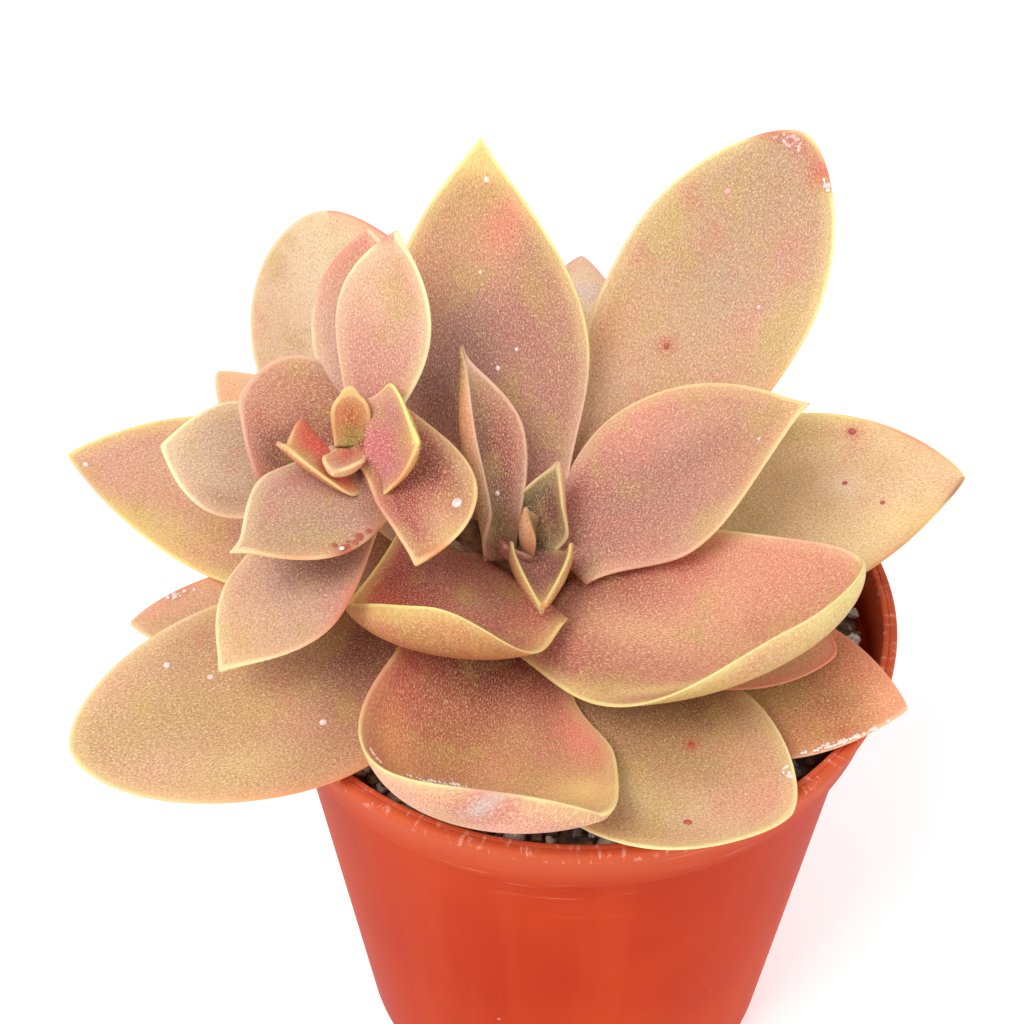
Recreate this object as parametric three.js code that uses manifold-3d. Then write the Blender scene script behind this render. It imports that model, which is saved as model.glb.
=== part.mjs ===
// A potted echeveria: a leafy main rosette and a smaller offset rosette on one branched stem,
// in gritty potting mix, in a thin-walled plastic nursery pot.
// Millimetres, +Z up. The origin is the middle of the pot's flat base, and -Y is the plant's front.
import * as THREE from "three";
import { mergeVertices } from "three/addons/utils/BufferGeometryUtils.js";
import Module from "manifold-3d";

const wasm = await Module();
wasm.setup();

// Driving dimensions of the pot.
const POT_HEIGHT = 82;
const RIM_RADIUS = 45;
const BASE_RADIUS = 31.5;
const WALL = 1;
const COLLAR_HEIGHT = 9.3;
const COLLAR_STEP = 1.9;
const SHOULDER_RADIUS = 41.1;
const FLOOR = 1.6;
const POT_SIDES = 48;
const DRAIN_HOLES = 6;
const DRAIN_RADIUS = 3.5;
const DRAIN_CIRCLE = 19;

// Driving dimensions of the potting mix.
const MIX_LEVEL = 73.5;
const MIX_CROWN = 2.2;
const MIX_GAP = 0.4;
const GRAINS = 44;

// Driving dimensions of the branched stem: points on its middle line, and its radii from root to top.
const MAIN_STEM = [[-3, 1, 55], [-3.5, 0, 74], [-5, -4, 88], [-5, -4.5, 96]];
const MAIN_STEM_RADII = [4.8, 3.4];
const OFFSET_STALK = [[-5, -3, 90], [-12, 1, 93.5], [-22, 3, 99.5], [-28, -1, 107], [-29.5, -3, 113]];
const OFFSET_STALK_RADII = [2.8, 2.4];

// Leaves. Each leaf runs from a root beside its rosette's axis along a straight line, its chord.
// tip: where the leaf ends, and root: the height it grows out at, both from the pot's flat base
// start: the side of the stem it grows out of, in degrees from +X, when that isn't its tip's side
// width: the blade's width measured flat, and even: the left half's share of it
// curl: how far the blade turns up from root to tip, in degrees, and late: how late it does so
// left, right: how far each margin turns up out of the blade, in degrees, and fold: by what share
// of the length it has done so, and hem: how near the margin it does so
// roll: the blade's turn about its chord, in degrees
// bow: the midrib's sideways bow, as a share of the length
// neck, widest, point: the root's share of the width, where the blade is widest, how sharp it ends
// thick: the thickness in the middle of the blade
const PLAIN_LEAF = {
  even: 0.5, curl: 20, late: 1, left: 16, right: 16, fold: 0.7, hem: 1, roll: 0, bow: 0,
  neck: 0.4, widest: 0.58, point: 0.7, thick: 2.6, out: 4.5, around: 12,
};
// Half the thickness of a blade at its margin.
const MARGIN = 0.45;

// The leaves are listed from the youngest down: each gives way to the ones before it.
const MAIN_AXIS = [-5, -4.5];
const MAIN_LEAVES = {
  upright: {
    tip: [-15, 7.5, 120], root: 95, start: 184, width: 11, left: 140, right: 20, roll: -10,
    bow: -0.04, point: 1.15, fold: 0.25, out: 5.4,
  },
  right_inner: {
    tip: [29, 2, 116], root: 95, width: 24, roll: 20, bow: 0.1, neck: 0.5, widest: 0.42,
    point: 0.85, out: 2.5,
  },
  left_cupped: {
    tip: [-30, -15, 96.5], root: 93.5, start: 235, width: 36.5, even: 0.5, left: 110, right: 30,
    hem: 1.3, bow: 0.12, neck: 0.5, widest: 0.5,
  },
  back: {
    tip: [-13, 27, 140], root: 92.5, width: 28.5, bow: 0.05, widest: 0.5, point: 0.85,
    curl: 10,
  },
  right_cupped: {
    tip: [36.5, -9, 99], root: 91.5, start: -55, width: 33, even: 0.42, right: 110,
    hem: 1.3, roll: 15, bow: -0.18, neck: 0.55, widest: 0.5, point: 0.5,
  },
  front_cupped: {
    tip: [1.8, -47.5, 93.2], root: 87, start: 250, width: 35.5, even: 0.37, bow: -0.19, curl: 62,
    late: 1.1, left: 14, right: 66, fold: 0.3, hem: 1.6, neck: 0.55, widest: 0.62, point: 0.5,
    thick: 4.8,
  },
  back_right: {
    tip: [31, 35.5, 136], root: 90, width: 28.5, roll: 28, bow: 0.03, widest: 0.64,
    point: 0.55,
  },
  right_outer: { tip: [53.5, 8.5, 98], root: 88.5, width: 28, roll: 22, bow: 0.1 },
  left: { tip: [-70, 13, 98], root: 88, width: 25, roll: -28, bow: -0.06 },
  back_left: { tip: [-36, 48, 115], root: 87, width: 33, bow: 0.08, widest: 0.62, point: 0.5 },
  front_left: {
    tip: [-63.8, -35.2, 91], root: 87, width: 28, roll: -25, bow: 0.03, curl: 0, point: 0.5,
  },
  right_low_inner: { tip: [34, -15.5, 88], root: 86, width: 20, point: 0.5 },
  front_right: { tip: [26, -40, 85], root: 85, width: 33, even: 0.42, bow: -0.08, point: 0.5 },
  back_left_low: { tip: [-52, 33, 97], root: 84, width: 22 },
  left_low: { tip: [-60.5, -8, 86], root: 82.5, width: 22, curl: 0 },
  back_low: { tip: [2, 58, 100], root: 82, width: 24 },
  right_low: { tip: [42.5, -23.5, 86], root: 80, width: 24, roll: 15, curl: 15 },
};
const MAIN_HEART = [
  {
    tip: [-2.8, 2, 106], root: 96, start: 150, width: 10.5, left: 95, right: 60, roll: -8,
    neck: 0.6, widest: 0.35, point: 1, out: 1.2,
  },
  {
    tip: [-5, -18.5, 99], root: 97, width: 13, left: 90, right: 100, fold: 0.25,
    neck: 0.35, widest: 0.25, point: 1.3,
  },
  { tip: [-6.7, -4.3, 103], root: 96, width: 5.5, left: 60, right: 60, neck: 0.9, point: 0.8 },
  { tip: [-9.7, -8.5, 101], root: 96, start: 200, width: 5.5, out: 2 },
];

const OFFSET_AXIS = [-29.5, -3];
const OFFSET_LEAVES = {
  right_young: {
    tip: [-21, -8.6, 118.6], root: 113.5, width: 15, even: 0.58, left: 20, right: 40, roll: 48,
    bow: 0.08, curl: 40, neck: 0.8, widest: 0.42, point: 0.5, out: 2, around: 8, thick: 2,
  },
  back: { tip: [-23.5, 9, 138], root: 112, width: 14, out: 3 },
  left_inner: {
    tip: [-43.5, 0, 119], root: 112, width: 19, roll: -25, bow: -0.1, neck: 0.75,
    widest: 0.45, point: 0.5, out: 3,
  },
  front_inner: {
    tip: [-42.2, -21.8, 113], root: 111, start: 320, width: 16, roll: -15, bow: 0.02,
    point: 0.9, neck: 0.8, widest: 0.5, out: 3,
  },
  right_front: {
    tip: [-20.5, -22, 111], root: 114, start: 45, width: 13.5, left: 30, bow: 0.17, neck: 0.8,
    widest: 0.5, out: 4,
  },
  back_outer: { tip: [-27.5, 16, 134], root: 110, width: 14, out: 3 },
  left: { tip: [-54, -2.5, 113], root: 109, width: 17, roll: -25, out: 3 },
  front_outer: {
    tip: [-45, -28.5, 99], root: 108, width: 17, even: 0.6, neck: 0.7, point: 0.8, out: 3,
  },
};
const OFFSET_HEART = [
  {
    tip: [-37.5, -8, 117.5], root: 111, width: 14, roll: -10, left: 20, right: 20, neck: 0.8,
    widest: 0.35, point: 1.1,
  },
  { tip: [-29.6, -1, 120.5], root: 113, width: 5.2, neck: 0.9, widest: 0.6, point: 0.4 },
  { tip: [-31.2, -10.9, 116], root: 113, width: 5.5, neck: 0.8, left: 40, right: 40 },
];
const HEART_LEAF = { out: 0.6, around: 8, thick: 1.6, neck: 0.7, widest: 0.45, left: 30, right: 30 };

// The gap that separate pieces keep to each other.
const GAP = 0.35;

const rad = THREE.MathUtils.degToRad;
const lerp = THREE.MathUtils.lerp;

const material = (name, color, roughness) =>
  new THREE.MeshStandardMaterial({ name, color, roughness, metalness: 0 });
const POT_PLASTIC = material("pot plastic", 0xd9502b, 0.45);
const POTTING_MIX = material("potting mix", 0x6f665e, 0.95);
const STEM_BARK = material("stem bark", 0x8a6a4a, 0.8);
const LEAF_SKIN = material("leaf skin", 0xc79a72, 0.55);
const YOUNG_SKIN = material("young leaf skin", 0xc9806c, 0.55);

// A closed geometry as a solid that can be cut and joined.
function solidOf(geometry) {
  const bare = geometry.clone();
  for (const name of Object.keys(bare.attributes)) if (name !== "position") bare.deleteAttribute(name);
  const merged = mergeVertices(bare, 1e-4);
  return new wasm.Manifold(
    new wasm.Mesh({
      numProp: 3,
      vertProperties: merged.attributes.position.array,
      triVerts: new Uint32Array(merged.index.array),
    }),
  );
}

// The largest connected body of a solid, without the loose scraps that a cut can leave.
function largestBody(solid) {
  return solid.decompose().reduce((a, b) => (b.volume() > a.volume() ? b : a));
}

function geometryOf(solid) {
  const mesh = solid.getMesh();
  const geometry = new THREE.BufferGeometry();
  geometry.setAttribute("position", new THREE.BufferAttribute(mesh.vertProperties, 3));
  geometry.setIndex(new THREE.BufferAttribute(mesh.triVerts, 1));
  geometry.computeVertexNormals();
  return geometry;
}

function named(name, solid, skin) {
  const mesh = new THREE.Mesh(geometryOf(solid), skin);
  mesh.name = name;
  return mesh;
}

// A seeded random number from 0 to 1.
function seeded(seed) {
  let state = seed;
  return () => {
    state = (state * 1664525 + 1013904223) % 4294967296;
    return state / 4294967296;
  };
}

// A turned solid about Z from a profile of [radius, height] points.
function turned(profile) {
  const points = profile.map(([r, z]) => new THREE.Vector2(r, z));
  return new THREE.LatheGeometry(points, POT_SIDES).rotateX(Math.PI / 2);
}

// The pot's outer radius at a height on its body, below the collar.
const SHOULDER_HEIGHT = POT_HEIGHT - COLLAR_HEIGHT;
const bodyRadius = (z) => lerp(BASE_RADIUS, SHOULDER_RADIUS, z / SHOULDER_HEIGHT);

// The pot: a tapering body, a wider collar above a small step, and a rolled rim.
function potSolid() {
  const foot = 3;
  const rimDepth = 1.5;
  const rimWidth = 2;
  const collarLow = SHOULDER_RADIUS + COLLAR_STEP;
  const profile = [
    [0, 0],
    [BASE_RADIUS - 2.5, 0],
    [BASE_RADIUS - 0.7, 0.8],
    [bodyRadius(foot), foot],
    [SHOULDER_RADIUS, SHOULDER_HEIGHT],
    [collarLow - 0.5, SHOULDER_HEIGHT + 0.1],
    [collarLow, SHOULDER_HEIGHT + 0.7],
    [RIM_RADIUS - 0.5, POT_HEIGHT - rimDepth - 0.4],
    [RIM_RADIUS, POT_HEIGHT - rimDepth],
    [RIM_RADIUS, POT_HEIGHT - 0.5],
    [RIM_RADIUS - 0.5, POT_HEIGHT],
    [RIM_RADIUS - rimWidth + 0.3, POT_HEIGHT],
    [RIM_RADIUS - rimWidth, POT_HEIGHT - 0.4],
    [RIM_RADIUS - rimWidth - 0.1, POT_HEIGHT - rimDepth],
    [collarLow - WALL, SHOULDER_HEIGHT + 0.9],
    [SHOULDER_RADIUS - WALL, SHOULDER_HEIGHT - 0.8],
    [bodyRadius(FLOOR) - WALL - 0.6, FLOOR + 1],
    [bodyRadius(FLOOR) - WALL - 2, FLOOR],
    [0, FLOOR],
  ];
  let pot = solidOf(turned(profile));
  for (let i = 0; i < DRAIN_HOLES; i++) {
    const angle = (2 * Math.PI * i) / DRAIN_HOLES;
    const drill = new THREE.CylinderGeometry(DRAIN_RADIUS, DRAIN_RADIUS, 3 * FLOOR, 12);
    drill.rotateX(Math.PI / 2);
    drill.translate(DRAIN_CIRCLE * Math.cos(angle), DRAIN_CIRCLE * Math.sin(angle), FLOOR / 2);
    pot = pot.subtract(solidOf(drill));
  }
  return pot;
}

// The height of the potting mix at a distance from the pot's axis: slightly mounded round the stem.
const mixHeight = (r) => MIX_LEVEL + MIX_CROWN * (1 - (r / SHOULDER_RADIUS) ** 2);

const GOLDEN_ANGLE = Math.PI * (3 - Math.sqrt(5));
// Places for the loose grains that lie on the mix, spread evenly by the golden angle.
function grainPlaces() {
  const random = seeded(11);
  const outer = SHOULDER_RADIUS - 4.8;
  return Array.from({ length: GRAINS }, (_, i) => {
    const r = outer * Math.sqrt((i + 0.5) / GRAINS);
    const angle = i * GOLDEN_ANGLE + 0.3 * random();
    return { r, angle, size: 1.3 + 1.5 * random() ** 2, turn: 2 * Math.PI * random() };
  });
}

// The potting mix: it fills the pot to below the collar, with grains standing out of its top.
function mixSolid(stem) {
  const foot = FLOOR + MIX_GAP;
  const inner = (z) => bodyRadius(z) - WALL - MIX_GAP;
  const shoulder = SHOULDER_HEIGHT - 1.2;
  const profile = [
    [0, foot],
    [inner(foot) - 2.2, foot],
    [inner(foot + 2) - 0.9, foot + 2],
    [inner(shoulder), shoulder],
  ];
  for (const share of [0.97, 0.75, 0.5, 0.25]) {
    const r = share * inner(shoulder);
    profile.push([r, mixHeight(r)]);
  }
  profile.push([0, mixHeight(0)]);
  const parts = [solidOf(turned(profile))];
  for (const grain of grainPlaces()) {
    const stone = new THREE.IcosahedronGeometry(grain.size, 0);
    stone.rotateX(grain.turn);
    stone.rotateZ(grain.turn * 2);
    stone.scale(1.2, 0.9, 0.8);
    stone.translate(grain.r, 0, mixHeight(grain.r) + 0.3);
    stone.rotateZ(grain.angle);
    parts.push(solidOf(stone));
  }
  return largestBody(wasm.Manifold.union(parts).subtract(stem));
}

// A round stem along a smooth line through points, with a radius at each end, grown by some margin.
function stemSolid(points, radii, grow, steps, sides) {
  const line = new THREE.CatmullRomCurve3(points.map((p) => new THREE.Vector3(...p)));
  const frames = line.computeFrenetFrames(steps, false);
  const tube = new THREE.CylinderGeometry(1, 1, 1, sides, steps);
  const place = tube.attributes.position;
  for (let i = 0; i < place.count; i++) {
    const along = Math.round((0.5 - place.getY(i)) * steps);
    const radius = lerp(radii[0], radii[1], along / steps) + grow;
    const spot = line.getPointAt(along / steps);
    spot.addScaledVector(frames.normals[along], -radius * place.getX(i));
    spot.addScaledVector(frames.binormals[along], radius * place.getZ(i));
    place.setXYZ(i, spot.x, spot.y, spot.z);
  }
  const solid = solidOf(tube);
  return solid.volume() < 0 ? solidOf(flipped(tube)) : solid;
}

// The same geometry with its faces turned round.
function flipped(geometry) {
  const copy = geometry.clone();
  const index = copy.index.array;
  for (let i = 0; i < index.length; i += 3) [index[i + 1], index[i + 2]] = [index[i + 2], index[i + 1]];
  return copy;
}

// The branched stem: the main stem rises out of the mix, and the offset's stalk leaves its side.
function branchedStem(grow) {
  const main = stemSolid(MAIN_STEM, MAIN_STEM_RADII, grow, 8, 14);
  return main.add(stemSolid(OFFSET_STALK, OFFSET_STALK_RADII, grow, 10, 10));
}

// A smooth rise from 0 to 1 as t goes from 0 to 1.
function smooth(t) {
  const held = Math.min(1, Math.max(0, t));
  return held * held * (3 - 2 * held);
}

// The share of its width that a blade has at a share u of its length.
function outline(u, leaf) {
  if (u < leaf.widest) {
    const rise = 0.5 - 0.5 * Math.cos((Math.PI * u) / leaf.widest);
    return lerp(leaf.neck, 1, rise ** 0.8);
  }
  return Math.cos((Math.PI / 2) * ((u - leaf.widest) / (1 - leaf.widest))) ** leaf.point;
}

// The midrib in its own plane, x along the chord and z up, with its slope, at even shares of its length.
const MIDRIB_STEPS = 60;
function midrib(leaf) {
  const slope = (u) => rad(leaf.curl) * u ** leaf.late;
  const line = [[0, 0]];
  for (let i = 0; i < MIDRIB_STEPS; i++) {
    const angle = slope((i + 0.5) / MIDRIB_STEPS);
    line.push([line[i][0] + Math.cos(angle), line[i][1] + Math.sin(angle)]);
  }
  const [endX, endZ] = line[MIDRIB_STEPS];
  const size = 1 / Math.hypot(endX, endZ);
  const lean = Math.atan2(endZ, endX);
  return (u) => {
    const i = Math.min(MIDRIB_STEPS - 1, Math.floor(u * MIDRIB_STEPS));
    const part = u * MIDRIB_STEPS - i;
    const x = lerp(line[i][0], line[i + 1][0], part) * size;
    const z = lerp(line[i][1], line[i + 1][1], part) * size;
    return {
      x: x * Math.cos(lean) + z * Math.sin(lean),
      z: z * Math.cos(lean) - x * Math.sin(lean),
      slope: slope(u) - lean,
    };
  };
}

// A leaf's closed skin: a sphere's rings become cross-sections, its north pole the root's middle.
const RINGS = [0, 0.08, 0.18, 0.3, 0.43, 0.56, 0.68, 0.79, 0.88, 0.95, 0.99];
function leafGeometry(spec, axis, grow = 0) {
  const leaf = { ...PLAIN_LEAF, ...spec };
  const geometry = new THREE.SphereGeometry(1, leaf.around, RINGS.length + 1);
  const rib = midrib(leaf);
  const place = geometry.attributes.position;
  const grid = geometry.attributes.uv;
  const tip = new THREE.Vector3(...leaf.tip);
  const start = leaf.start === undefined ? Math.atan2(tip.y - axis[1], tip.x - axis[0]) : rad(leaf.start);
  const root = new THREE.Vector3(leaf.out * Math.cos(start), leaf.out * Math.sin(start), leaf.root);
  root.x += axis[0];
  root.y += axis[1];
  const chord = tip.clone().sub(root);
  leaf.length = chord.length();
  const turn = new THREE.Euler(0, -Math.asin(chord.z / leaf.length), Math.atan2(chord.y, chord.x), "ZYX");
  for (let i = 0; i < place.count; i++) {
    const row = Math.round((1 - grid.getY(i)) * (RINGS.length + 1));
    const column = Math.round(grid.getX(i) * leaf.around) % leaf.around;
    const angle = (-2 * Math.PI * column) / leaf.around;
    const isPole = row === 0 || row === RINGS.length + 1;
    const u = row === 0 ? 0 : row > RINGS.length ? 1 : RINGS[row - 1];
    const spot = leafPoint(leaf, rib, u, isPole ? null : angle, grow);
    place.setXYZ(i, ...spot.applyEuler(turn).add(root).toArray());
  }
  return geometry;
}

const ARC_STEPS = 10;
// A point of a leaf's skin in its own frame. angle runs round the section: 0 is the left margin and
// a quarter turn the middle of the upper face. A null angle is the midrib's own end.
function leafPoint(leaf, rib, u, angle, grow) {
  const { x, z, slope } = rib(u);
  const veer = Math.atan(4 * leaf.bow * (1 - 2 * u));
  const ahead = new THREE.Vector3(Math.cos(slope), 0, Math.sin(slope));
  const aside = new THREE.Vector3(0, 1, 0);
  const along = ahead.clone().multiplyScalar(Math.cos(veer)).addScaledVector(aside, Math.sin(veer));
  const across = aside.multiplyScalar(Math.cos(veer)).addScaledVector(ahead, -Math.sin(veer));
  across.applyAxisAngle(along, rad(leaf.roll));
  const up = along.clone().cross(across);
  const spot = new THREE.Vector3(x, 4 * leaf.bow * u * (1 - u), z).multiplyScalar(leaf.length);
  if (angle === null) return spot.addScaledVector(along, u === 0 ? -grow : grow);
  const share = Math.cos(angle);
  const side = Math.sign(share);
  const half = leaf.width * (side > 0 ? leaf.even : 1 - leaf.even) * outline(u, leaf) + grow;
  const cup = rad(side > 0 ? leaf.left : leaf.right) * smooth(u / leaf.fold);
  const edge = Math.abs(share);
  const bend = cup * edge ** leaf.hem;
  for (let i = 0; i < ARC_STEPS; i++) {
    const here = cup * ((edge * (i + 0.5)) / ARC_STEPS) ** leaf.hem;
    spot.addScaledVector(across, (side * half * edge * Math.cos(here)) / ARC_STEPS);
    spot.addScaledVector(up, (half * edge * Math.sin(here)) / ARC_STEPS);
  }
  const normal = up.multiplyScalar(Math.cos(bend)).addScaledVector(across, -side * Math.sin(bend));
  const full = leaf.thick * lerp(0.45, 1, Math.min(1, u / 0.3)) * Math.sqrt(1 - u ** 3) * (1 - 0.35 * u);
  const above = MARGIN + 0.15 * full + grow;
  const below = MARGIN + 0.85 * full * (1 - edge ** 2.4) + grow;
  const rise = Math.sin(angle);
  return spot.addScaledVector(normal, rise > 0 ? above * rise ** 0.6 : -below * Math.abs(rise) ** 0.6);
}

// The youngest leaves of a rosette, grown together at its middle.
function heartSolid(leaves, axis, grow) {
  const leafSolid = (spec) => solidOf(leafGeometry({ ...HEART_LEAF, ...spec }, axis, grow));
  return wasm.Manifold.union(leaves.map(leafSolid));
}

// The room a leaf leaves for the pot's rim.
function rimRoom() {
  const inner = bodyRadius(SHOULDER_HEIGHT) - WALL - 1;
  const outer = RIM_RADIUS + GAP;
  const top = POT_HEIGHT + GAP;
  const profile = [[inner, MIX_LEVEL], [outer, MIX_LEVEL], [outer, top], [inner, top], [inner, MIX_LEVEL]];
  return solidOf(turned(profile));
}

// Each leaf gives way to the leaves above it, which come first in the lists.
function leafNodes(prefix, leaves, axis, stemRoom, above) {
  return Object.entries(leaves).map(([name, spec]) => {
    const raw = solidOf(leafGeometry(spec, axis));
    const leaf = [stemRoom, ...above].reduce((solid, other) => solid.subtract(other), raw);
    above.push(solidOf(leafGeometry(spec, axis, GAP)).add(raw));
    return named(prefix + name, largestBody(leaf), LEAF_SKIN);
  });
}

const stemRoom = branchedStem(GAP);
const hearts = { main: [MAIN_HEART, MAIN_AXIS], offset: [OFFSET_HEART, OFFSET_AXIS] };
const above = [rimRoom()];
const plant = new THREE.Group();
for (const [name, [leaves, axis]] of Object.entries(hearts)) {
  const heart = heartSolid(leaves, axis, 0).subtract(stemRoom);
  plant.add(named(name + "_heart", largestBody(heart), YOUNG_SKIN));
  above.push(heartSolid(leaves, axis, GAP));
}
plant.add(...leafNodes("offset_leaf_", OFFSET_LEAVES, OFFSET_AXIS, stemRoom, above));
plant.add(...leafNodes("main_leaf_", MAIN_LEAVES, MAIN_AXIS, stemRoom, above));
plant.add(named("stem", branchedStem(0), STEM_BARK));

const part = new THREE.Group();
part.add(named("pot", potSolid(), POT_PLASTIC));
part.add(named("potting_mix", mixSolid(stemRoom), POTTING_MIX));
part.add(plant);

export default part;
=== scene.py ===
"""A potted echeveria: a leafy rosette and its smaller offset in a thin orange nursery pot."""

import math

import bpy
import numpy as np
from mathutils import Matrix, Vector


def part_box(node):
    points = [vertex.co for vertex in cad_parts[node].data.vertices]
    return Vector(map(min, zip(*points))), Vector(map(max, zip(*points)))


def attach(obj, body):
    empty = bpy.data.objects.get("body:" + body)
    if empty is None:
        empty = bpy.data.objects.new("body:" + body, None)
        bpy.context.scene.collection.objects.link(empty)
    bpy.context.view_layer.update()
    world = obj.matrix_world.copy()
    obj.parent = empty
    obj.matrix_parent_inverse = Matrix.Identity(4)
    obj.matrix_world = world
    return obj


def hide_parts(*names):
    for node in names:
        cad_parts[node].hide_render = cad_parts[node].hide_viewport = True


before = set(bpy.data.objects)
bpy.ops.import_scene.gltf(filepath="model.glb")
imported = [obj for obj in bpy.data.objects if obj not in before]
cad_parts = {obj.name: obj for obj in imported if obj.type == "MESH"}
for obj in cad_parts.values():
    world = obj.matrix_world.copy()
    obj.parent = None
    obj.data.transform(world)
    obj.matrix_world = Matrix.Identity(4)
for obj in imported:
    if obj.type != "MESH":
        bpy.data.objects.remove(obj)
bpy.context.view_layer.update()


# Camera
# It stands in front of the plant, a little to its left, and looks down on it at 42 degrees,
# which hides the lower half of the pot below the picture's edge.

FRAME_PIXELS = 1024
FOCAL_PIXELS = 2100
SENSOR_MM = 36
CAMERA_PLACE = (-0.0088, -0.2107, 0.289)
CAMERA_PITCH = math.radians(42)

camera_data = bpy.data.cameras.new("camera")
camera_data.sensor_width = SENSOR_MM
camera_data.lens = SENSOR_MM * FOCAL_PIXELS / FRAME_PIXELS
camera = bpy.data.objects.new("camera", camera_data)
camera.location = CAMERA_PLACE
camera.rotation_euler = (math.pi / 2 - CAMERA_PITCH, 0, 0)
bpy.context.scene.collection.objects.link(camera)
bpy.context.scene.camera = camera


# Floor and light
# The pot stands on a white light table, lit a little from below, under a bright even sky. One large
# soft lamp over the left shoulder and a weaker one to the right give the plastic its highlights.

FLOOR_HALF = 4.0
TABLE_GLOW = 0.38
SKY_STRENGTH = 0.62
LAMPS = {
    "key lamp": dict(place=(-0.45, -0.45, 0.95), size=0.55, power=7.5),
    "fill lamp": dict(place=(0.75, -0.35, 0.55), size=0.45, power=2.2),
}
AIM = (0, 0, 0.09)


def colour(code):
    """Linear red, green, blue and alpha of a colour written as on the web, such as d9502b."""
    shares = [int(code[i : i + 2], 16) / 255 for i in (0, 2, 4)]
    return tuple(c / 12.92 if c <= 0.04045 else ((c + 0.055) / 1.055) ** 2.4 for c in shares) + (1,)


class Signal:
    """A socket of a material's nodes, so that shader maths is written as Python arithmetic."""

    def __init__(self, finish, socket):
        self.finish = finish
        self.socket = socket

    def math(self, operation, *values):
        return self.finish.node("Math", {"operation": operation}, dict(enumerate(values)))

    def __add__(self, other):
        return self.math("ADD", self, other)

    def __radd__(self, other):
        return self.math("ADD", other, self)

    def __sub__(self, other):
        return self.math("SUBTRACT", self, other)

    def __rsub__(self, other):
        return self.math("SUBTRACT", other, self)

    def __mul__(self, other):
        return self.math("MULTIPLY", self, other)

    def __rmul__(self, other):
        return self.math("MULTIPLY", other, self)

    def __truediv__(self, other):
        return self.math("DIVIDE", self, other)

    def __pow__(self, other):
        return self.math("POWER", self, other)

    def rise(self, low, high):
        """0 below low, 1 above high, and smooth between. A low above high makes it a fall."""
        settings = {"interpolation_type": "SMOOTHSTEP"}
        return self.finish.node("MapRange", settings, {"Value": self, "From Min": low, "From Max": high})


class Finish:
    """A material that is being made of nodes."""

    def __init__(self, name):
        self.material = bpy.data.materials.new(name)
        self.material.use_nodes = True
        self.tree = self.material.node_tree
        self.tree.nodes.clear()

    def node(self, kind, settings, inputs, output=0):
        """Adds a node: its settings first, then the values or links of its sockets."""
        made = self.tree.nodes.new("ShaderNode" + kind)
        for name, value in settings.items():
            setattr(made, name, value)
        for name, value in inputs.items():
            if isinstance(value, Signal):
                self.tree.links.new(value.socket, made.inputs[name])
            else:
                made.inputs[name].default_value = value
        return Signal(self, made.outputs[output])

    def blend(self, share, first, second, way="MIX"):
        """A mix of two colours, from the first at a share of 0 to the second at 1."""
        settings = {"data_type": "RGBA", "blend_type": way}
        return self.node("Mix", settings, {"Factor": share, 6: first, 7: second}, 2)

    def noise(self, place, scale, detail=2, roughness=0.5, distortion=0):
        inputs = {"Vector": place, "Scale": scale, "Detail": detail, "Roughness": roughness}
        return self.node("TexNoise", {}, {**inputs, "Distortion": distortion})

    def stretched(self, place, x=1, y=1, z=1, shift=(0, 0, 0)):
        return self.node("Mapping", {}, {"Vector": place, "Location": shift, "Scale": (x, y, z)})

    def object_place(self):
        return self.node("TexCoord", {}, {}, "Object")

    def attribute(self, name, output="Fac"):
        return self.node("Attribute", {"attribute_name": name}, {}, output)

    def close(self, **inputs):
        """Ends the material in one Principled shader and returns it."""
        words = {name.replace("_", " "): value for name, value in inputs.items()}
        skin = self.node("BsdfPrincipled", {}, words)
        end = self.tree.nodes.new("ShaderNodeOutputMaterial")
        self.tree.links.new(skin.socket, end.inputs["Surface"])
        return self.material


def plain_mesh(name, points, faces, finish):
    """A smooth-shaded object of points in millimetres."""
    mesh = bpy.data.meshes.new(name)
    mesh.from_pydata((np.asarray(points) / 1000).tolist(), [], faces)
    mesh.materials.append(finish)
    mesh.shade_smooth()
    made = bpy.data.objects.new(name, mesh)
    bpy.context.scene.collection.objects.link(made)
    return made


def belongs(piece, slot, *nodes):
    """The piece is part of the plant or its pot, riding on the root body, and stands for CAD nodes, which
    are hidden. Its slot is not used.
    """
    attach(piece, "root")
    if nodes:
        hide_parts(*nodes)
    return piece


floor_finish = Finish("pale floor")
floor_noise = floor_finish.noise(floor_finish.object_place(), 3)
floor_tone = floor_finish.blend(floor_noise, colour("f6f6f6"), colour("f8f8f8"))
floor_finish = floor_finish.close(Base_Color=floor_tone, Roughness=0.9, Emission_Color=floor_tone,
                                  Emission_Strength=TABLE_GLOW)
corners = [(-FLOOR_HALF, -FLOOR_HALF, 0), (FLOOR_HALF, -FLOOR_HALF, 0)]
corners += [(FLOOR_HALF, FLOOR_HALF, 0), (-FLOOR_HALF, FLOOR_HALF, 0)]
floor = plain_mesh("floor", np.array(corners) * 1000, [(0, 1, 2, 3)], floor_finish)

world = bpy.data.worlds.new("sky")
world.use_nodes = True
world.node_tree.nodes["Background"].inputs["Color"].default_value = (0.97, 0.985, 1, 1)
world.node_tree.nodes["Background"].inputs["Strength"].default_value = SKY_STRENGTH
bpy.context.scene.world = world
bpy.context.scene.view_settings.view_transform = "Standard"

for lamp_name, lamp in LAMPS.items():
    light = bpy.data.lights.new(lamp_name, "AREA")
    light.size = lamp["size"]
    light.energy = lamp["power"]
    lamp_object = bpy.data.objects.new(lamp_name, light)
    lamp_object.location = lamp["place"]
    away = lamp_object.location - type(lamp_object.location)(AIM)
    lamp_object.rotation_euler = away.to_track_quat("Z", "Y").to_euler()
    bpy.context.scene.collection.objects.link(lamp_object)


# Pot
# One cup of thin orange plastic, drawn down over a mould: a tapering body, a collar standing out over
# a small step, so that pots stack, and a rolled rim. Water leaves by round holes in its floor.

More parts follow.
